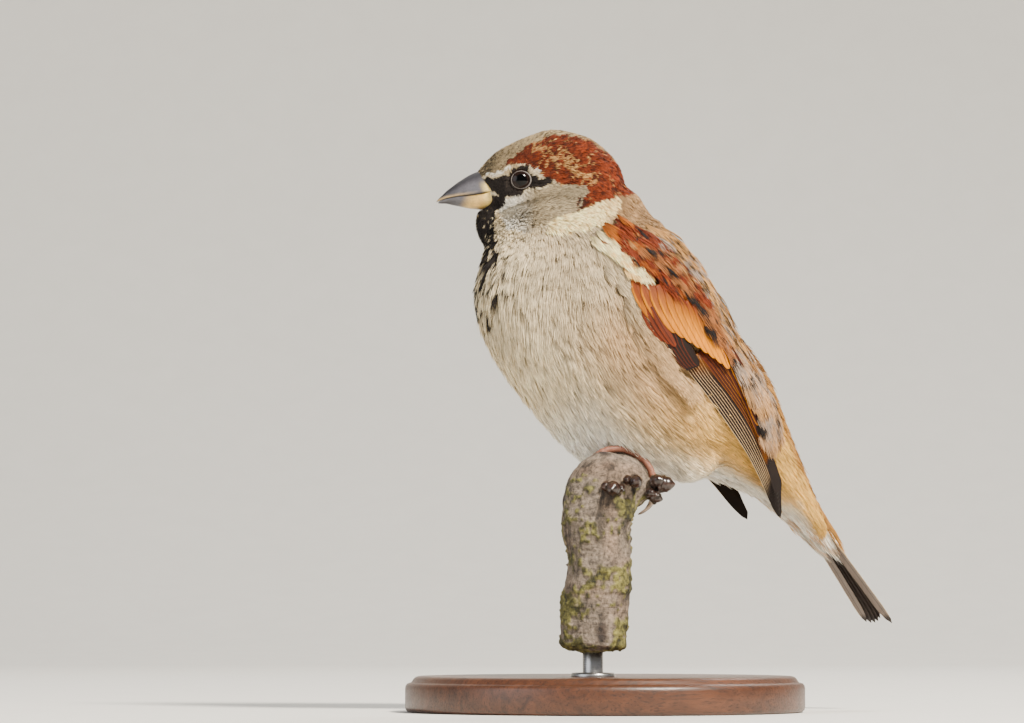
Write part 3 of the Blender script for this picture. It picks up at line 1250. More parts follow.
def flank_tufts(sheet, random, colours):
    """Flank feathers that lap over the front of the left wing's lower edge."""
    count = 320
    line = [(-10.8, 118), (-8.6, 113), (-5.0, 106), (-2.8, 99.5), (-0.4, 94.4), (3.0, 88.6), (7.6, 83.8), (11.4, 80.4)]
    share = random.random(count)
    root = spline(line)(share) + random.normal(0, 0.9, (count, 2)) - np.array([0.2, 0.3])
    slope = np.radians(62 - 12 * share + random.normal(0, 7, count))
    way = np.stack([np.cos(slope), -np.sin(slope)], -1)
    reach = random.uniform(4.5, 7.5, count)
    paths, normals = np.empty((2, count, 4, 3))
    for k in range(4):
        paths[:, k], normals[:, k] = on_wing(sheet, root + way * (reach * k / 3)[:, None], 0.1 + 0 * share)
        for n in range(count):
            x, _, z = paths[n, k]
            found, _ = beside(x, z)
            if found is not None:
                over = (0.1, 0.4, 0.75, 0.9)[k] + random.normal(0, 0.15)
                paths[n, k, 1] = min(paths[n, k, 1] - (over if k else -1.2), found[1] / MM - 0.25 * k)
    side, middle, base = markings(paths[:, 0] - np.array([2.0, 0, 0]), random, colours)
    return paths, normals, np.full(count, 1.0), side, middle, base


def tuft_piece(name, groups, strand, material, flip=1, seed=31):
    """One object of many soft feathers, each with its own patch of the map that colours are kept in."""
    parts, placed = [], 0
    columns = math.ceil(math.sqrt(sum(len(group[0]) for group in groups)))
    for paths, normals, width, *shades in groups:
        cell = placed + np.arange(len(paths))
        uv = (np.stack([cell % columns, cell // columns], -1) + 0.5) / columns
        parts.append(barbed(paths * flip, normals * flip, width, 19, np.full(len(paths), strand), shades, uv,
                            np.random.default_rng(seed + placed), None, camber=0.2))
        placed += len(paths)
    strand_piece(name, parts, material)


def make_wings(context):
    wing, birds = context.scene.sparrow_wing, context.scene.sparrow_plumage
    rows = wing_feathers(wing, birds)
    sheet = wing_surface()
    random = np.random.default_rng(23)
    colours = colour_set(birds) | {"orange": np.array(wing.orange)}
    groups = wing_tufts(sheet, random, colours)
    groups.append(flank_tufts(sheet, random, colours))
    material = plumage_finish()
    for hand, side in SIDES:
        turned = (lambda feathers: feathers) if hand < 0 else across_body
        coverts = turned(rows["primary_coverts"] + rows["alula"] + rows["greater_coverts"])
        quills = turned(rows["primaries"] + rows["secondaries"])
        vane_piece(f"wing_{side}_quills", quills, f"wing_{side}_flight")
        vane_piece(f"wing_{side}_long_tertials", turned(rows["tertials"]), f"wing_{side}_tertials")
        vane_piece(f"wing_{side}_greater_coverts", coverts, f"wing_{side}_coverts")
        flip = 1 if hand < 0 else MIRROR
        tuft_piece(f"wing_{side}_soft_feathers", groups, birds.strand_width * 0.95, material, flip)


def tail_coverts(random, along, up, side, colours):
    """Long soft feathers over (side 1) or under (side -1) the tail's root."""
    count = 230
    start, aside = random.uniform(2, 20, count), np.sin(random.uniform(-1.55, 1.55, count))
    reach = random.uniform(8, 13, count)
    paths, normals = np.empty((2, count, 4, 3))
    for k in range(4):
        t = start + reach * k / 3
        rise = np.interp(t, [8, 15, 25, 32], [4.4, 2.9, 1.5, 1.0] if side > 0 else [6.3, 4.7, 3.2, 1.5])
        rise = (rise - 0.7 * (k == 0) + random.normal(0, 0.12, count)) * np.sqrt(1 - 0.97 * aside**2)
        wide = aside * np.interp(t, [2, 8, 15, 25, 32], [6.2, 6.0, 5.6, 4.8, 3.6])
        paths[:, k] = TAIL_ROOT + along * t[:, None] + up * (side * rise)[:, None] + SIDEWAYS * wide[:, None]
        normals[:, k] = unit(up * side * (1.1 - aside**2)[:, None] + SIDEWAYS * aside[:, None])
    luck = random.random(count)
    main, second = ("rump", "mantle") if side > 0 else ("white", "buff")
    tone_side = blend(np.tile(colours[main], (count, 1)), colours[second], 0.7 * (luck < 0.4))
    middle = np.where((luck > 0.6)[:, None], tone_side * (0.35 if side > 0 else 0.7), tone_side)
    return paths, normals, np.full(count, 1.2), tone_side, middle, tone_side * 0.5


def make_tail(context):
    wing, birds = context.scene.sparrow_wing, context.scene.sparrow_plumage
    quill, edge = np.array(wing.quill), np.array(wing.pale_edge)
    along = unit(TAIL_TIP - TAIL_ROOT)
    up = np.array([-along[2], 0, along[0]])
    whole = np.linalg.norm(TAIL_TIP - TAIL_ROOT)
    feathers = []
    for order in reversed(range(TAIL_PAIRS)):
        for hand in (-1, 1):
            turn = TAIL_FAN * (order + 0.4) / (TAIL_PAIRS - 0.6)
            length = whole * (0.965 + 0.035 * math.sin(order / (TAIL_PAIRS - 1) * 2.6))

            def path(t):
                aside = hand * (0.4 + 0.16 * order + t * length * math.sin(turn))
                rise = 0.6 - 0.44 * order * (0.4 + 0.6 * t) + 0.5 * np.sin(t * math.pi)
                back = along * (t * length * math.cos(turn))[:, None]
                return TAIL_ROOT + back + up * rise[:, None] + SIDEWAYS * aside[:, None]

            outer, inner = (1.8, 2.5) if order == TAIL_PAIRS - 1 else (2.0, 2.3)
            body = blend(quill * 1.4, np.array(birds.silver) * 0.9, 0.08 + 0.5 * (order == TAIL_PAIRS - 1))
            look = {"body": body, "edge_a": edge * 0.55, "edge_b": body * 1.3, "tip": quill * 1.4,
                    "outer_edge": 0.22, "inner_edge": 0.1, "tip_share": 0.04, "shaft": quill}
            made = vane(path, lambda t: np.tile(up, (len(t), 1)), outer, inner, look, 0.06, 0.12, order, 0.55)
            if hand > 0:
                centre = made[0].reshape(VANE_ROWS, VANE_COLUMNS, 3)
                shaft = centre[:, 7:8]
                flipped = shaft + (centre - shaft) * MIRROR
                made = (flipped.reshape(-1, 3), made[1], made[2], True)
            feathers.append(made)
    vane_piece("tail_feathers", feathers, "tail")
    tufts = [tail_coverts(np.random.default_rng(47 + side), along, up, side, colour_set(birds)) for side in (1, -1)]
    tuft_piece("tail_coverts", tufts, birds.strand_width * 0.95, plumage_finish())


def make_skin(context):
    birds = context.scene.sparrow_plumage
    mesh = body_mesh("skin", 1.0, 0.75)
    points = points_of(mesh)
    h = to_head(points)
    deep = np.interp(off_eye(h), [0, 2.2, 2.8, 3.3, 3.6, 4], [7.6, 8.4, 8.9, 9.6, 20, 200])
    h[:, 1] = np.where(np.abs(h[:, 1]) > 4, np.clip(h[:, 1], -deep, deep), h[:, 1])
    points = from_head(h)
    move_points(mesh, points)
    piece = shown("skin", mesh, skin_finish())
    unwrapped(piece)
    mesh.uv_layers[0].name = "OFBake"
    side, middle, _ = markings(points, np.random.default_rng(5), colour_set(birds))
    paint(mesh, blend(side, middle, 0.4) * 0.8)
    settle(piece, "plumage", "head", "neck", "trunk", "thigh_left", "thigh_right")


# Bill and eyes


def bill_finish():
    made = Finish("Horn of the bill", roughness=0.42, Coat_Weight=0.12, Coat_Roughness=0.35)
    where = made.place((1, 3, 3))
    made.shade(made.noise(700, 4, 0.65, where), (0.3, 0.78), (0.7, 1.14))
    made.roughness(made.span(made.noise(1500), 0.3, 0.7, 0.34, 0.52))
    made.bump(made.noise(1100, 4, 0.6, where), 0.25, 0.0002)
    return made.material


def bill_half(name, bill, upper, material, node):
    """One half of the bill, cut from the whole along the line of the mouth, which is then bent."""
    bm = bmesh.new()
    low = 1.0 if upper else 0.94

    def swell(share, angle, points):
        ridge = np.exp(-((angle / 0.3) ** 2)) * ease(0.1, 0.3, share)
        side = np.exp(-(((np.abs(angle) - 1.75) / 0.3) ** 2))
        return low * (1 + 0.03 * ridge - 0.03 * side * ease(0.2, 0.5, share))

    stations = [((x, 0, 0), up, down, wide) for x, up, down, wide in BILL]
    loft(bm, stations, cap=0.05, around=64, rings=72, swell=swell)
    cuts = [((0, 0, 0.05), (0, 0, -1))] if upper else [((0, 0, -0.06), (0, 0, 1)), ((-42.3, 0, 0), (-1, 0, 0))]
    for place, away in cuts:
        geometry = bm.verts[:] + bm.edges[:] + bm.faces[:]
        bmesh.ops.bisect_plane(bm, geom=geometry, plane_co=Vector(place) * MM, plane_no=Vector(away),
                               clear_outer=True)
    bmesh.ops.holes_fill(bm, edges=[e for e in bm.edges if e.is_boundary], sides=0)
    line = np.array(BILL_LINE)
    flat = np.array([v.co for v in bm.verts]) / MM
    raised = flat + np.array([0, 0, 1]) * np.interp(flat[:, 0], line[:, 0], line[:, 1])[:, None]
    for vert, place in zip(bm.verts, from_head(raised) * MM):
        vert.co = place
    piece = made_piece(name, bm, material)
    h = to_head(points_of(piece.data))
    above = h[:, 2] - np.interp(h[:, 0], line[:, 0], line[:, 1])
    x = h[:, 0]
    horn, gape, tip = np.array(bill.upper), np.array(bill.gape), np.array(bill.tip)
    if upper:
        colours = blend(np.tile(horn, (len(h), 1)), tip, 0.85 * ease(-33, -42, x))
        culmen = ease(0.45, 0.85, above / np.interp(x, [b[0] for b in BILL], [b[1] for b in BILL]))
        colours = blend(colours, tip * 0.75, 0.75 * culmen)
        cutting_edge = ease(0.9, 0.2, above) * ease(-31, -37, x)
        colours = blend(colours, gape * np.array([0.95, 0.85, 0.9]), 0.4 * cutting_edge)
        colours = blend(colours, gape, ease(-31.8, -29.6, x + 0.4 * above) * ease(3.4, 1.2, above))
    else:
        colours = blend(np.tile(bill.lower, (len(h), 1)), horn * 0.9, ease(-32.6, -36.4, x - 0.5 * above))
        colours = blend(colours, tip * 0.6, ease(-36.5, -40.5, x) * ease(-0.2, -1.4, above))
        colours = blend(colours, tip * 0.7, 0.8 * ease(0.66, 0.95, -above / 4.0))
        colours = blend(colours, gape, 0.9 * ease(-31.8, -29.8, x))
    dark = ease(0.22, 0.08, np.abs(above)) * ease(-29.6, -31, x)
    colours = blend(colours, tip * 0.25, 0.8 * dark)
    paint(piece.data, np.clip(colours * (1 + 0.13 * mottle(h, 1.1, 2))[:, None], 0, 1))
    settle(piece, "bill", node)


def nostril(hand, side, material):
    bm = bmesh.new()
    bmesh.ops.create_uvsphere(bm, u_segments=20, v_segments=12, radius=1.0)
    for vert in bm.verts:
        x, y, z = vert.co
        place = np.array([x * 0.6 + z * 0.2 - 33.1, hand * 2.5 + y * 0.35, 132.7 + z * 0.3 - x * 0.12])
        vert.co = Vector(from_head(place) * MM)
    settle(made_piece(f"nostril_{side}", bm, material), "bill")


def make_bill(context):
    bill = context.scene.sparrow_head
    material = bill_finish()
    bill_half("upper_bill", bill, True, material, "bill_upper")
    bill_half("lower_bill", bill, False, material, "bill_lower")
    dark = Finish("Inside of the nostril", (0.008, 0.007, 0.007), 0.8)
    dark.roughness(dark.span(dark.noise(2000), 0.3, 0.7, 0.7, 0.9))
    for hand, side in SIDES:
        nostril(hand, side, dark.material)


def eye_finish(colour):
    """A dark brown ring round a black pupil, under one clear wet surface."""
    made = Finish("Eye", colour, 0.12, Coat_Weight=0.3, Coat_Roughness=0.03, Specular_IOR_Level=0.05)
    ring = made.noise(1800, 4, 0.7, made.place((1, 4, 1)))
    brown = made.ramp(ring, [(0.3, tuple(0.55 * c for c in colour)), (0.7, tuple(1.5 * c for c in colour))])
    made.colour(made.product(made.painted(), brown))
    return made.material


def lid_finish(colour):
    made = Finish("Eyelid", colour, 0.6)
    made.shade(made.noise(2600, 3, 0.6), (0.3, 0.6), (0.7, 1.25))
    made.bump(made.noise(3400, 3, 0.6), 0.4, 0.0001)
    return made.material


def eyeball(hand, side, material):
    bm = bmesh.new()
    bmesh.ops.create_uvsphere(bm, u_segments=64, v_segments=48, radius=EYE_RADIUS)
    centre = np.array([EYE[0], hand * EYE[1], EYE[2]])
    for vert in bm.verts:
        x, y, z = vert.co
        vert.co = Vector(from_head(centre + np.array([x, z * hand, y])) * MM)
    piece = made_piece(f"eyeball_{side}", bm, material)
    h = to_head(points_of(piece.data))
    level = np.where(np.abs(h[:, 1]) > EYE[1], ease(1.3, 1.65, off_eye(h)), 1)[:, None]
    paint(piece.data, 0.03 + 0.97 * level * np.ones(3))
    settle(piece, "eye", f"eye_{side}")


def eyelid(hand, side, material, colour):
    """A beaded ring spun round the eye's opening, following the slope of the face."""
    bm = bmesh.new()
    bmesh.ops.create_circle(bm, segments=12, radius=LID_RADIUS)
    middle = EYE_OPENING + LID_RADIUS
    for vert in bm.verts:
        x, y, _ = vert.co
        vert.co = (middle + x * 0.85, 0, y * 0.85)
    spin_round(bm, 96)
    for vert in bm.verts:
        x, y, z = vert.co
        turn, far = math.atan2(y, x), math.hypot(x, y)
        bead = 1 + 0.28 * abs(math.sin(turn * 13)) ** 0.6
        far = middle + (far - middle) * bead
        almond = 1 - 0.05 * math.sin(turn) ** 2 + 0.05 * math.cos(turn) ** 4
        x, y = far * almond * math.cos(turn), far * almond * math.sin(turn)
        depth = 9.12 + 0.11 * x + z * bead - EYE[1]
        centre = np.array([EYE[0] + x, hand * (EYE[1] + depth), EYE[2] + y])
        vert.co = Vector(from_head(centre) * MM)
    piece = made_piece(f"eyelid_{side}", bm, material)
    off = off_eye(to_head(points_of(piece.data)))
    outer = ease(EYE_OPENING + 0.12, EYE_OPENING + 0.26, off)[:, None]
    paint(piece.data, np.array([0.03, 0.026, 0.024]) * (1 - outer) + np.array(colour) * outer)
    settle(piece, "eye")


def make_eyes(context):
    face = context.scene.sparrow_head
    ball, lid = eye_finish(tuple(face.iris)), lid_finish(tuple(face.lid))
    for hand, side in SIDES:
        eyeball(hand, side, ball)
        eyelid(hand, side, lid, face.lid)


# Feet


def leg_finish():
    made = Finish("Scaled skin of the feet", roughness=0.55, Subsurface_Weight=0.06, Subsurface_Radius=(0.6, 0.3, 0.2))
    made.set("Subsurface Scale", 0.001)
    made.shade(made.noise(1400, 4, 0.6), (0.3, 0.72), (0.7, 1.18))
    cells = made.node("TexVoronoi", Scale=1500.0, feature="DISTANCE_TO_EDGE")
    made.join(made.place(), cells.inputs["Vector"])
    made.bump(made.span(cells.outputs["Distance"], 0.0, 0.12), 0.35, 0.00012)
    return made.material


def claw_finish(colour):
    made = Finish("Horn of the claws", colour, 0.28, Coat_Weight=0.5, Coat_Roughness=0.12)
    made.shade(made.noise(900, 3, 0.6), (0.3, 0.7), (0.7, 1.3))
    return made.material


def toe_run(toe, along):
    reach, splay, _ = TOES[toe]
    stations = []
    for i in range(5):
        share = i / 4
        pad = TOE_RADIUS * (1 if i % 2 else 0.9) * (1 - 0.1 * share)
        spread = splay * math.sin(share * math.pi / 2)
        angle = TOE_BASE_ANGLE + math.radians(reach * share - (1 - share) * math.copysign(9, reach))
        stations.append((round_perch(angle, TOE_CURVE, along + spread), pad, pad, pad))
    return stations


def claw_run(toe, along):
    reach, splay, sweep = TOES[toe]
    start = TOE_BASE_ANGLE + math.radians(reach) + 1.15 * math.copysign(1, sweep) / TOE_CURVE
    spots = [(0, 0.1, 0.62, 0.55), (0.35, 0.75, 0.56, 0.46), (0.7, 0.65, 0.42, 0.36), (1, 0.1, 0.24, 0.22)]
    return [
        (round_perch(start + math.radians(sweep) * share, TOE_CURVE + lift, along + splay), deep, deep, wide)
        for share, lift, deep, wide in spots
    ]


def scuted(count):
    """The overlapping plates along the outer side of a toe."""

    def swell(share, angle, points):
        place = points - PERCH_MIDDLE
        away = np.linalg.norm(place - (place @ perch_along)[:, None] * perch_along, axis=1)
        outer = ease(TOE_CURVE - 0.1, TOE_CURVE + 0.5, away)
        step = np.mod(share * count, 1)
        pads = 1 + 0.05 * np.cos(share * 8 * math.pi) * (1 - outer)
        return pads * (1 + outer * (0.07 - 0.15 * step**3))

    return swell


def make_feet(context):
    look = context.scene.sparrow_feet
    skin, horn = leg_finish(), claw_finish(tuple(look.claw))
    for hand, side in SIDES:
        along = hand * FOOT_ALONG
        bm = bmesh.new()
        for toe in TOES:
            loft(bm, toe_run(toe, along), side=perch_along, around=24, rings=110, cap=0.06, swell=scuted(11))
        foot, heel = round_perch(TOE_BASE_ANGLE, TOE_CURVE + 0.1, along), np.array([19, hand * 11.6, 67.4])
        shank = [(foot + (heel - foot) * share, 1.15, 1.15, 1.05) for share in (-0.09, 0.45, 1.0)]
        loft(bm, shank, around=28, rings=90, cap=0.12,
             swell=lambda share, angle, points: 1 + 0.05 * np.mod(share * 9, 1) ** 2)
        piece = made_piece(f"foot_{side}_skin", bm, skin)
        points = points_of(piece.data)
        colours = np.array(look.skin) * (1 + 0.16 * mottle(points, 1.4, 1) + 0.1 * mottle(points, 0.5, 2))[:, None]
        paint(piece.data, np.clip(colours, 0, 1))
        settle(piece, "leg_skin", f"foot_{side}")
        for toe in TOES:
            bm = bmesh.new()
            loft(bm, claw_run(toe, along), side=perch_along, around=24, rings=40, cap=0.12)
            claw = made_piece(f"claw_{side}_{toe}_horn", bm, horn)
            far = np.linalg.norm(points_of(claw.data) - claw_run(toe, along)[0][0], axis=1)
            tint = np.array(look.claw)
            paint(claw.data, blend(np.tile(tint, (len(far), 1)) * 1.6, tint * 0.5, ease(0.5, 4, far)))
            settle(claw, "claw", f"claw_{side}_{toe}")


# Branch


def bark_finish():
    made = Finish("Bark with lichen", roughness=0.85)
    fine = made.noise(900, 5, 0.7)
    stretched = made.noise(260, 5, 0.65, made.place((1, 1, 0.35)), 0.6)
    rings = made.noise(300, 3, 0.5, made.place((0.4, 0.4, 3.2)))
    made.shade(stretched, (0.38, 0.3), (0.5, 0.95), (0.72, 1.4))
    made.shade(fine, (0.36, 0.35), (0.5, 0.95), (0.7, 1.7))
    made.roughness(made.span(fine, 0.3, 0.7, 0.78, 0.95))
    height = made.add(made.add(stretched, fine), rings)
    made.bump(height, 0.8, 0.0006)
    return made.material


def shoot_way(out):
    return unit(out[0] * perch_across + out[1] * perch_along + out[2] * WORLD_UP)


def shoot_stations(along, out, reach, radius):
    way, start = shoot_way(out), on_perch(along)
    spots = [(reach - 6.5, 0.8), (reach - 3, 0.75), (reach - 1.2, 1.05), (reach, 0.5)]
    return [(start + way * far, radius * k, radius * k, radius * k) for far, k in spots]


SHOOTS = [
    (-23.5, (-0.16, -0.98, -0.14), 12, 1.7),
    (-22.5, (0.36, -0.92, 0.02), 12, 1.5),
    (-21.5, (0.97, -0.22, -0.02), 12.4, 2.1),
    (-24, (0.93, -0.1, -0.36), 10.8, 1.5),
]


BUD_SHAPE = (0.7, 1.05, 0.9, 0.3)  # its thickness from the foot to the tip


def bud_finish():
    made = Finish("Bud scales", roughness=0.3, Coat_Weight=0.35, Coat_Roughness=0.15)
    made.shade(made.noise(1100, 4, 0.6), (0.3, 0.5), (0.7, 1.5))
    made.bump(made.noise(1500, 3, 0.6), 0.3, 0.0002)
    return made.material


def make_buds(look):
    """Fat scaly buds, one at each shoot's tip with a smaller one at its side."""
    bm = bmesh.new()
    for along, out, reach, radius in SHOOTS:
        way = shoot_way(out)
        aside = unit(np.cross(way, (0.3, 0.2, 1)))
        for far, off, size in ((reach - 1.8, 0, 0.95), (reach - 3.0, 1.0, 0.7), (reach - 3.4, -0.9, 0.55)):
            start = on_perch(along) + way * far + aside * off * radius
            turned = unit(way + aside * off * 0.5)
            thick = radius * size
            run = [(start + turned * thick * (k - 1.0) * 0.9, *([thick * fat] * 3)) for k, fat in enumerate(BUD_SHAPE)]
            loft(bm, run, side=(0.1, 0.1, 1), cap=0.25, around=28, rings=36,
                 swell=lambda share, angle, points: 1 + 0.13 * np.mod(share * 3.5 + angle / math.tau, 1) ** 3)
    piece = made_piece("buds", bm, bud_finish())
    points = points_of(piece.data)
    paint(piece.data, np.clip(np.array(look.bud) * (1.1 + 0.9 * mottle(points, 1.0, 14))[:, None], 0, 1))
    settle(piece, "bark")


def make_branch(context):
    look = context.scene.sparrow_branch
    make_buds(look)
    s = STEM_ALONG
    foot = on_perch(s, -6.5)
    foot[2] = PERCH_BOTTOM
    upright = [
        (foot, 8.2, 8.2, 8.5), (on_perch(s, -5.8, -30), 8.2, 8.2, 8.5), (on_perch(s, -4.9, -19), 8, 8.2, 8.1),
        (on_perch(s, -5.5, -9.4), 8.2, 8.6, 8.8), (on_perch(s + 0.4, -4.5, -3.4), 8, 8.6, 9.2),
        (on_perch(s + 1.2, -2.4, 2.2), 6.6, 7.6, 8.2), (on_perch(s + 2, -0.8, 7), 4, 4.4, 4.6),
    ]
    level = [
        (on_perch(s - 4, -0.8, -0.8), 5, 5.4, 5.4), (on_perch(s + 1, -0.4, -0.2), 7.8, 7.6, 7.8),
        (on_perch(s + 7), 7.7, 7.6, 7.7), (on_perch(-6), 7.6, 7.6, 7.6), (on_perch(8), 7.6, 7.6, 7.6),
        (on_perch(27), 7.2, 7.2, 7.2),
    ]
    bm = bmesh.new()
    loft(bm, upright, side=perch_across, cap=0.03, around=72, rings=90)
    loft(bm, level, side=perch_across, cap=0.04, around=72, rings=90)
    for shoot in SHOOTS:
        loft(bm, shoot_stations(*shoot), side=(0.1, 0.1, 1), cap=0.2, around=32, rings=32,
             swell=lambda share, angle, points: 1 + 0.12 * np.mod(share * 4.2, 1) ** 2)
    made = fused("branch", bm, 0.36, 3)
    points, normal = points_of(made), read(made.vertex_normals, "vector")
    place = points - PERCH_MIDDLE
    along = place @ perch_along
    level_part = ease(s + 4, s + 9, along)
    length = np.where(level_part > 0.5, along, points[:, 2])
    rings = mottle(np.stack([length, mottle(points, 7, 1) * 2, mottle(points, 4, 2)], -1), 1.7, 3)
    lumps = mottle(points, 4.2, 4)
    grain = mottle(points, 0.9, 5)
    damp = (-0.9 * mottle(points, 6, 7) + 0.55 * mottle(points, 1.1, 8) - 0.7 * level_part
            + 0.3 * ease(-4, 5, (points - foot) @ -perch_across) - 0.35 * ease(50, 60, points[:, 2]))
    crust = ease(look.lichen, look.lichen + 0.3, damp)
    crumbs = np.maximum(mottle(points, 0.85, 9), 0) * crust
    height = 0.12 * rings + 0.3 * lumps + 0.1 * grain + 0.3 * crust + 0.55 * crumbs - 0.35
    under_feet = ease(-3, 0, -np.abs(np.abs(along) - FOOT_ALONG) + 5) * level_part
    height = blend(height, -0.15 + 0.1 * lumps, under_feet)
    move_points(made, points + normal * height[:, None])
    pale, green = np.array(look.bark), np.array(look.lichen_colour)
    bark = blend(np.tile(pale, (len(points), 1)), look.bark_dark, ease(0.1, 0.9, mottle(points, 3.0, 11)))
    bark = blend(bark, pale * np.array([1.1, 0.92, 0.8]), 0.6 * ease(0.0, 0.8, mottle(points, 6.0, 12)))
    lichen = blend(np.tile(green, (len(points), 1)), green * 0.35, ease(0.1, -0.5, mottle(points, 0.8, 13)))
    colours = blend(bark, lichen, crust)
    buds = np.zeros(len(points))
    for shoot in SHOOTS:
        tip = shoot_stations(*shoot)[2][0]
        buds = np.maximum(buds, ease(shoot[3] * 2.1, shoot[3] * 1.3, np.linalg.norm(points - tip, axis=1)))
    colours = blend(colours, np.array(look.bud) * (1 + 0.3 * mottle(points, 0.9, 14))[:, None], 0.85 * buds)
    cut = ease(PERCH_TAIL - 1.1, PERCH_TAIL - 0.5, along) * level_part
    off_axis = np.linalg.norm(place - along[:, None] * perch_along, axis=1)
    grown = 1 + 0.12 * np.cos(off_axis * 5.5 + 0.6 * mottle(points, 3, 15))
    colours = blend(colours, np.array(look.cut) * grown[:, None], cut * ease(7.1, 6.5, off_axis))
    paint(made, np.clip(colours, 0, 1))
    settle(shown("branch", made, bark_finish()), "bark", "perch_branch")


# Stand


def wood_finish(colour):
    made = Finish("Oiled walnut", colour, 0.42, Coat_Weight=0.25, Coat_Roughness=0.3)
    where = made.place((1.0, 9.0, 6.0), (0, 0, 0.35))
    grain = made.noise(42, 6, 0.62, where, 1.2)
    pores = made.noise(420, 3, 0.6, made.place((0.5, 7.0, 5.0), (0, 0, 0.35)))
    dark, light = (tuple(k * c for c in colour) for k in (0.45, 1.55))
    body = made.ramp(grain, [(0.28, dark), (0.5, colour), (0.74, light)])
    flecks = made.ramp(pores, [(0.36, (0.45,) * 3), (0.46, (1.0,) * 3)])
    made.colour(made.product(body, flecks))
    made.roughness(made.span(pores, 0.3, 0.6, 0.55, 0.36))
    made.bump(made.add(grain, pores), 0.18, 0.0003)
    return made.material


def steel_finish():
    made = Finish("Brushed steel", (0.42, 0.41, 0.4), 0.32, Metallic=1.0)
    turned = made.noise(500, 3, 0.6, made.place((1, 1, 14)))
    made.colour(made.ramp(turned, [(0.3, (0.3, 0.29, 0.28)), (0.7, (0.5, 0.49, 0.48))]))
    made.roughness(made.span(turned, 0.3, 0.7, 0.24, 0.42))
    made.bump(turned, 0.12, 0.0001)
    return made.material


def spun(name, outline, centre, material, steps=160):
    """A turned piece: the outline of radii and heights spun once round its upright axis."""
    bm = bmesh.new()
    verts = [bm.verts.new((radius * MM, 0, height * MM)) for radius, height in outline]
    for pair in zip(verts, verts[1:]):
        bm.edges.new(pair)
    spin_round(bm, steps)
    bmesh.ops.translate(bm, verts=bm.verts, vec=(centre[0] * MM, centre[1] * MM, 0))
    return made_piece(name, bm, material)


def make_stand(context):
    look = context.scene.sparrow_stand
    outline = [
        (0, 0.4), (47.6, 0.4), (48.6, 0), (49.3, 0.15), (49.8, 0.6), (50, 1.2), (50, 5.9), (49.85, 6.6),
        (49.5, 7.1), (49.0, 7.3), (48.6, 7.35), (48.3, 7.6), (47.9, 8.3), (47.4, 8.75), (46.7, 8.97),
        (46.0, 9), (30, 9), (12, 9), (0, 9),
    ]
    settle(spun("turned_base", outline, (0, 0), wood_finish(tuple(look.wood))), "stand_wood", "stand_base")
    foot = on_perch(STEM_ALONG, -6.5)
    rod = [(0, 3), (ROD_RADIUS, 3), (ROD_RADIUS, 8.8), (ROD_RADIUS, 20.9), (0, 20.9)]
    settle(spun("rod", rod, foot, steel_finish(), 64), "stand_steel", "stand_rod")
    collar = [(2.5, 8.6), (5.2, 8.6), (5.4, 9.0), (5.4, 9.7), (5.1, 10.1), (2.5, 10.2)]
    settle(spun("rod_collar", collar, foot, steel_finish(), 96), "stand_steel")


# Stage


FLOOR_LENGTH, FLOOR_FRONT = 6.2, 2.4  # in metres, as are the two below
BEND_START, BEND_RADIUS = 1.1, 0.7
CAMERA_RISE = math.radians(-3)
CAMERA_AIM = (-23.25, 87.625)  # across and up the view, in mm
CAMERA_FAR = 1200


def area_light(name, place, aim, size, power, colour):
    data = bpy.data.lights.new(name, "AREA")
    data.shape, data.size, data.energy, data.color = "DISK", size, power, colour
    lamp = linked(name, data)
    lamp.location = place
    lamp.rotation_euler = (aim - place).to_track_quat("-Z", "Y").to_euler()


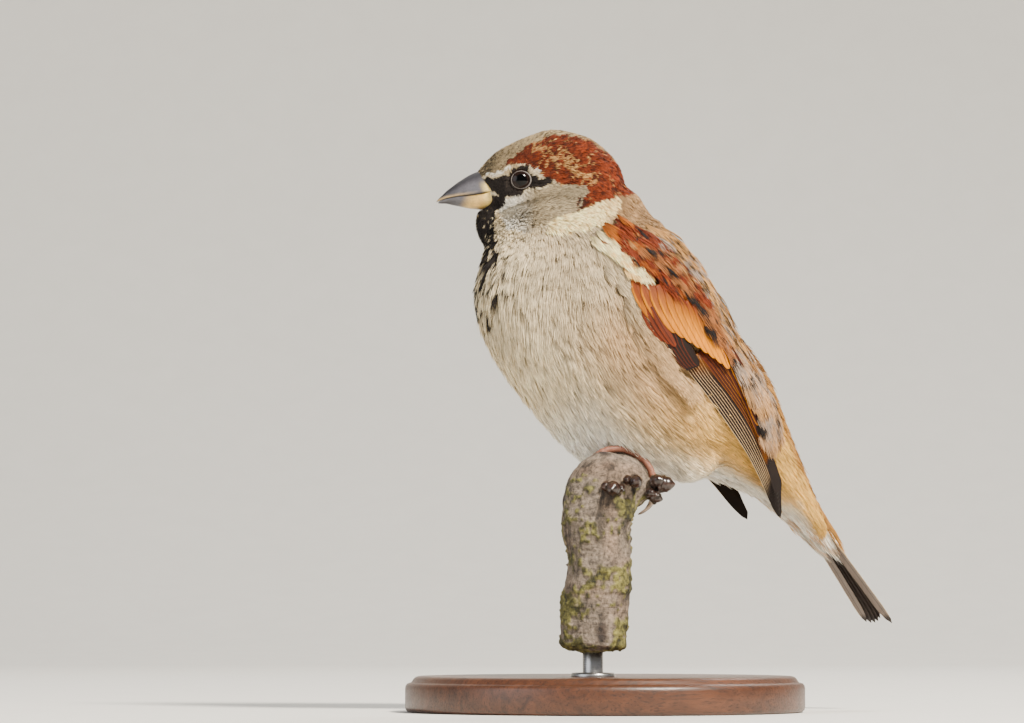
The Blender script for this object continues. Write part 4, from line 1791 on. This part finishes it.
def make_stage(context):
    look = context.scene.sparrow_stage
    bm = bmesh.new()
    bmesh.ops.create_grid(bm, x_segments=4, y_segments=48, size=1.0)
    right = Vector((math.cos(look.azimuth), math.sin(look.azimuth), 0))
    behind = Vector((-math.sin(look.azimuth), math.cos(look.azimuth), 0))
    for vert in bm.verts:
        run = (vert.co.y + 1) / 2 * FLOOR_LENGTH - FLOOR_FRONT
        bend = min(max((run - BEND_START) / BEND_START, 0), 1) * math.pi / 2
        flat = min(run, BEND_START) + BEND_RADIUS * math.sin(bend)
        rise = BEND_RADIUS * (1 - math.cos(bend)) + max(run - 2 * BEND_START, 0)
        vert.co = right * vert.co.x * 4 + behind * flat + Vector((0, 0, rise))
    floor = made_piece("floor", bm)
    paper = Finish("Matt backdrop", tuple(look.floor), 0.9)
    shaded = tuple(0.97 * c for c in look.floor)
    paper.colour(paper.ramp(paper.noise(60, 4), [(0.3, shaded), (0.7, tuple(look.floor))]))
    paper.bump(paper.noise(900, 3), 0.05, 0.0002)
    floor.data.materials.append(paper.material)
    aim = Vector((0, 0, 0.09))
    toward, up = -behind, Vector((0, 0, 1))
    for name, spot, size, power, colour in (
        ("Key light", right * 0.75 + toward * 0.95 + up * 1.25, 0.32, look.key, (1.0, 0.93, 0.82)),
        ("Fill light", right * -1.2 + toward * 0.8 + up * 0.5, 1.2, look.fill, (0.9, 0.95, 1.0)),
        ("Back light", right * 0.3 + behind * 0.9 + up * 1.1, 0.6, look.back, (1.0, 0.97, 0.92)),
    ):
        area_light(name, spot, aim, size, power, colour)
    world = bpy.data.worlds.new("Studio")
    world.use_nodes = True
    sky = world.node_tree.nodes["Background"]
    sky.inputs["Color"].default_value = (0.82, 0.86, 0.92, 1)
    sky.inputs["Strength"].default_value = look.sky
    context.scene.world = world

    level, across = math.cos(CAMERA_RISE), np.array(right)
    back = np.array([-behind.x * level, -behind.y * level, math.sin(CAMERA_RISE)])
    upward = np.cross(back, across)
    target = across * CAMERA_AIM[0] + upward * CAMERA_AIM[1]
    camera = linked("Camera", bpy.data.cameras.new("Camera"))
    camera.data.lens, camera.data.sensor_width = 168.75, 36
    camera.data.clip_start, camera.data.clip_end = 0.05, 20
    rows = np.column_stack([across, upward, back, (target + back * CAMERA_FAR) * MM])
    camera.matrix_world = Matrix([list(row) for row in rows] + [[0, 0, 0, 1]])
    context.scene.camera = camera


# Settings, operators and the panel


def number_field(name, text, default, low, high, **more):
    return FloatProperty(name=name, description=text, default=default, min=low, max=high, **more)


def colour_field(name, text, *parts):
    """A colour whose parts are given as 0 to 255."""
    first = tuple(tone(*parts))
    return FloatVectorProperty(name=name, description=text, default=first, subtype="COLOR", size=3, min=0, max=1)


class SparrowPlumage(bpy.types.PropertyGroup):
    fullness: number_field("Fullness", "Layers of feathers over the skin", 8.4, 1, 12)
    strand_width: number_field("Barb half width", "Half the width of a body feather's barb, in mm", 0.13, 0.05, 0.5)
    white: colour_field("White", "Brow and under-tail feathers", 248, 240, 224)
    breast: colour_field("Breast", "Middle of the breast", 220, 202, 166)
    breast_side: colour_field("Breast side", "Sides of the breast and neck", 184, 164, 132)
    buff: colour_field("Buff", "Buff of the flank and back", 192, 142, 84)
    flank: colour_field("Rear flank", "Flank by the wing's edge", 216, 170, 88)
    cream: colour_field("Cream", "Neck band and shoulder bar", 255, 234, 176)
    black: colour_field("Black", "Bib, lores and streaks", 28, 22, 20)
    chestnut: colour_field("Chestnut", "Sides of the crown and the shoulder", 124, 48, 16)
    mantle: colour_field("Mantle", "Brown of the mantle", 160, 112, 58)
    rump: colour_field("Rump", "Lower back and rump", 168, 120, 58)
    crown: colour_field("Crown", "Grey of the crown", 180, 158, 120)
    cheek: colour_field("Cheek", "Grey of the cheek", 176, 158, 126)
    silver: colour_field("Silver", "Grey shoulder feathers", 160, 140, 124)
    down: colour_field("Down", "Feather bases", 104, 90, 76)


class SparrowWing(bpy.types.PropertyGroup):
    quill: colour_field("Quill", "Dark of the flight feathers", 26, 14, 9)
    pale_edge: colour_field("Pale edge", "Edges of the outer flight feathers", 240, 208, 160)
    orange: colour_field("Orange", "Edges of the coverts and inner feathers", 208, 126, 0)


class SparrowHead(bpy.types.PropertyGroup):
    upper: colour_field("Upper bill", "Horn of the upper bill", 88, 85, 90)
    lower: colour_field("Lower bill", "Horn of the lower bill", 222, 180, 100)
    gape: colour_field("Gape", "Corner of the mouth", 240, 208, 124)
    tip: colour_field("Bill tip", "Dark tip of the bill", 40, 38, 42)
    iris: colour_field("Iris", "Brown of the eye", 26, 16, 12)
    lid: colour_field("Eyelid", "Ring of the eyelid", 112, 104, 98)


class SparrowFeet(bpy.types.PropertyGroup):
    skin: colour_field("Skin", "Scaled skin of the toes", 140, 90, 70)
    claw: colour_field("Claws", "Horn of the claws", 170, 146, 124)


class SparrowBranch(bpy.types.PropertyGroup):
    lichen: number_field("Lichen", "Higher leaves less lichen", 0.12, -1, 1)
    bark: colour_field("Bark", "Grey of the bark", 118, 104, 90)
    bark_dark: colour_field("Dark bark", "Shaded bark", 56, 46, 40)
    lichen_colour: colour_field("Lichen colour", "Yellow green of the lichen", 106, 100, 50)
    bud: colour_field("Buds", "Grey brown of the buds", 40, 24, 17)
    cut: colour_field("Cut wood", "End grain where the branch is cut", 214, 182, 136)


class SparrowStand(bpy.types.PropertyGroup):
    wood: colour_field("Wood", "Base of the stand", 78, 44, 24)


class SparrowStage(bpy.types.PropertyGroup):
    azimuth: number_field("Azimuth", "Where the camera stands round the bird", math.radians(-25), -math.tau, math.tau,
                          subtype="ANGLE", unit="ROTATION")
    key: number_field("Key light", "Power of the key light, in watts", 84, 0, 1000)
    fill: number_field("Fill light", "Power of the fill light, in watts", 9, 0, 1000)
    back: number_field("Back light", "Power of the back light, in watts", 14, 0, 1000)
    sky: number_field("Sky", "Strength of the light from all round", 0.34, 0, 10)
    floor: colour_field("Floor", "Colour of the floor and backdrop", 226, 223, 216)


def maker(work, text):
    """An operator class that runs one of the make_ functions, under the rest of its name."""
    name = work.__name__.removeprefix("make_")

    def execute(self, context):
        work(context)
        return {"FINISHED"}

    return type(
        "SPARROW_OT_" + name,
        (bpy.types.Operator,),
        {"bl_idname": "sparrow." + name, "bl_label": name.capitalize(), "__doc__": text, "execute": execute},
    )


OPERATORS = [
    maker(make_stage, "Makes the floor, lights and camera"),
    maker(make_stand, "Makes the turned base and the steel rod"),
    maker(make_branch, "Makes the cut branch with its shoots and lichen"),
    maker(make_feet, "Makes the scaled toes, shanks and claws"),
    maker(make_bill, "Makes both halves of the bill"),
    maker(make_eyes, "Makes the eyes and their lids"),
    maker(make_skin, "Makes the one skin under the plumage"),
    maker(make_coat, "Covers the skin with feathers"),
    maker(make_wings, "Makes the folded wings and the shoulder feathers"),
    maker(make_tail, "Makes the tail's twelve feathers"),
]


class SPARROW_PT_panel(bpy.types.Panel):
    """Lists the steps in the order they are made"""

    bl_label = "House sparrow"
    bl_idname = "SPARROW_PT_panel"
    bl_space_type = "VIEW_3D"
    bl_region_type = "UI"
    bl_category = "Sparrow"

    def draw(self, context):
        for operator in OPERATORS:
            self.layout.operator(operator.bl_idname)


GROUPS = {  # each by the name that the scene keeps it under
    group.__name__.replace("Sparrow", "sparrow_").lower(): group
    for group in (
        SparrowPlumage, SparrowWing, SparrowHead, SparrowFeet, SparrowBranch, SparrowStand, SparrowStage,
    )
}


def register():
    for group in GROUPS.values():
        bpy.utils.register_class(group)
    for name, group in GROUPS.items():
        setattr(bpy.types.Scene, name, PointerProperty(type=group))
    for operator in OPERATORS:
        bpy.utils.register_class(operator)
    bpy.utils.register_class(SPARROW_PT_panel)


def unregister():
    bpy.utils.unregister_class(SPARROW_PT_panel)
    for operator in reversed(OPERATORS):
        bpy.utils.unregister_class(operator)
    for name in GROUPS:
        delattr(bpy.types.Scene, name)
    for group in reversed(GROUPS.values()):
        bpy.utils.unregister_class(group)


def main():
    for started_with in ("Cube", "Light", "Camera"):
        if started_with in bpy.data.objects:
            bpy.data.objects.remove(bpy.data.objects[started_with])
    register()
    for operator in OPERATORS:
        getattr(bpy.ops.sparrow, operator.bl_idname.split(".")[1])()
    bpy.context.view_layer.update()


if __name__ == "__main__":
    main()
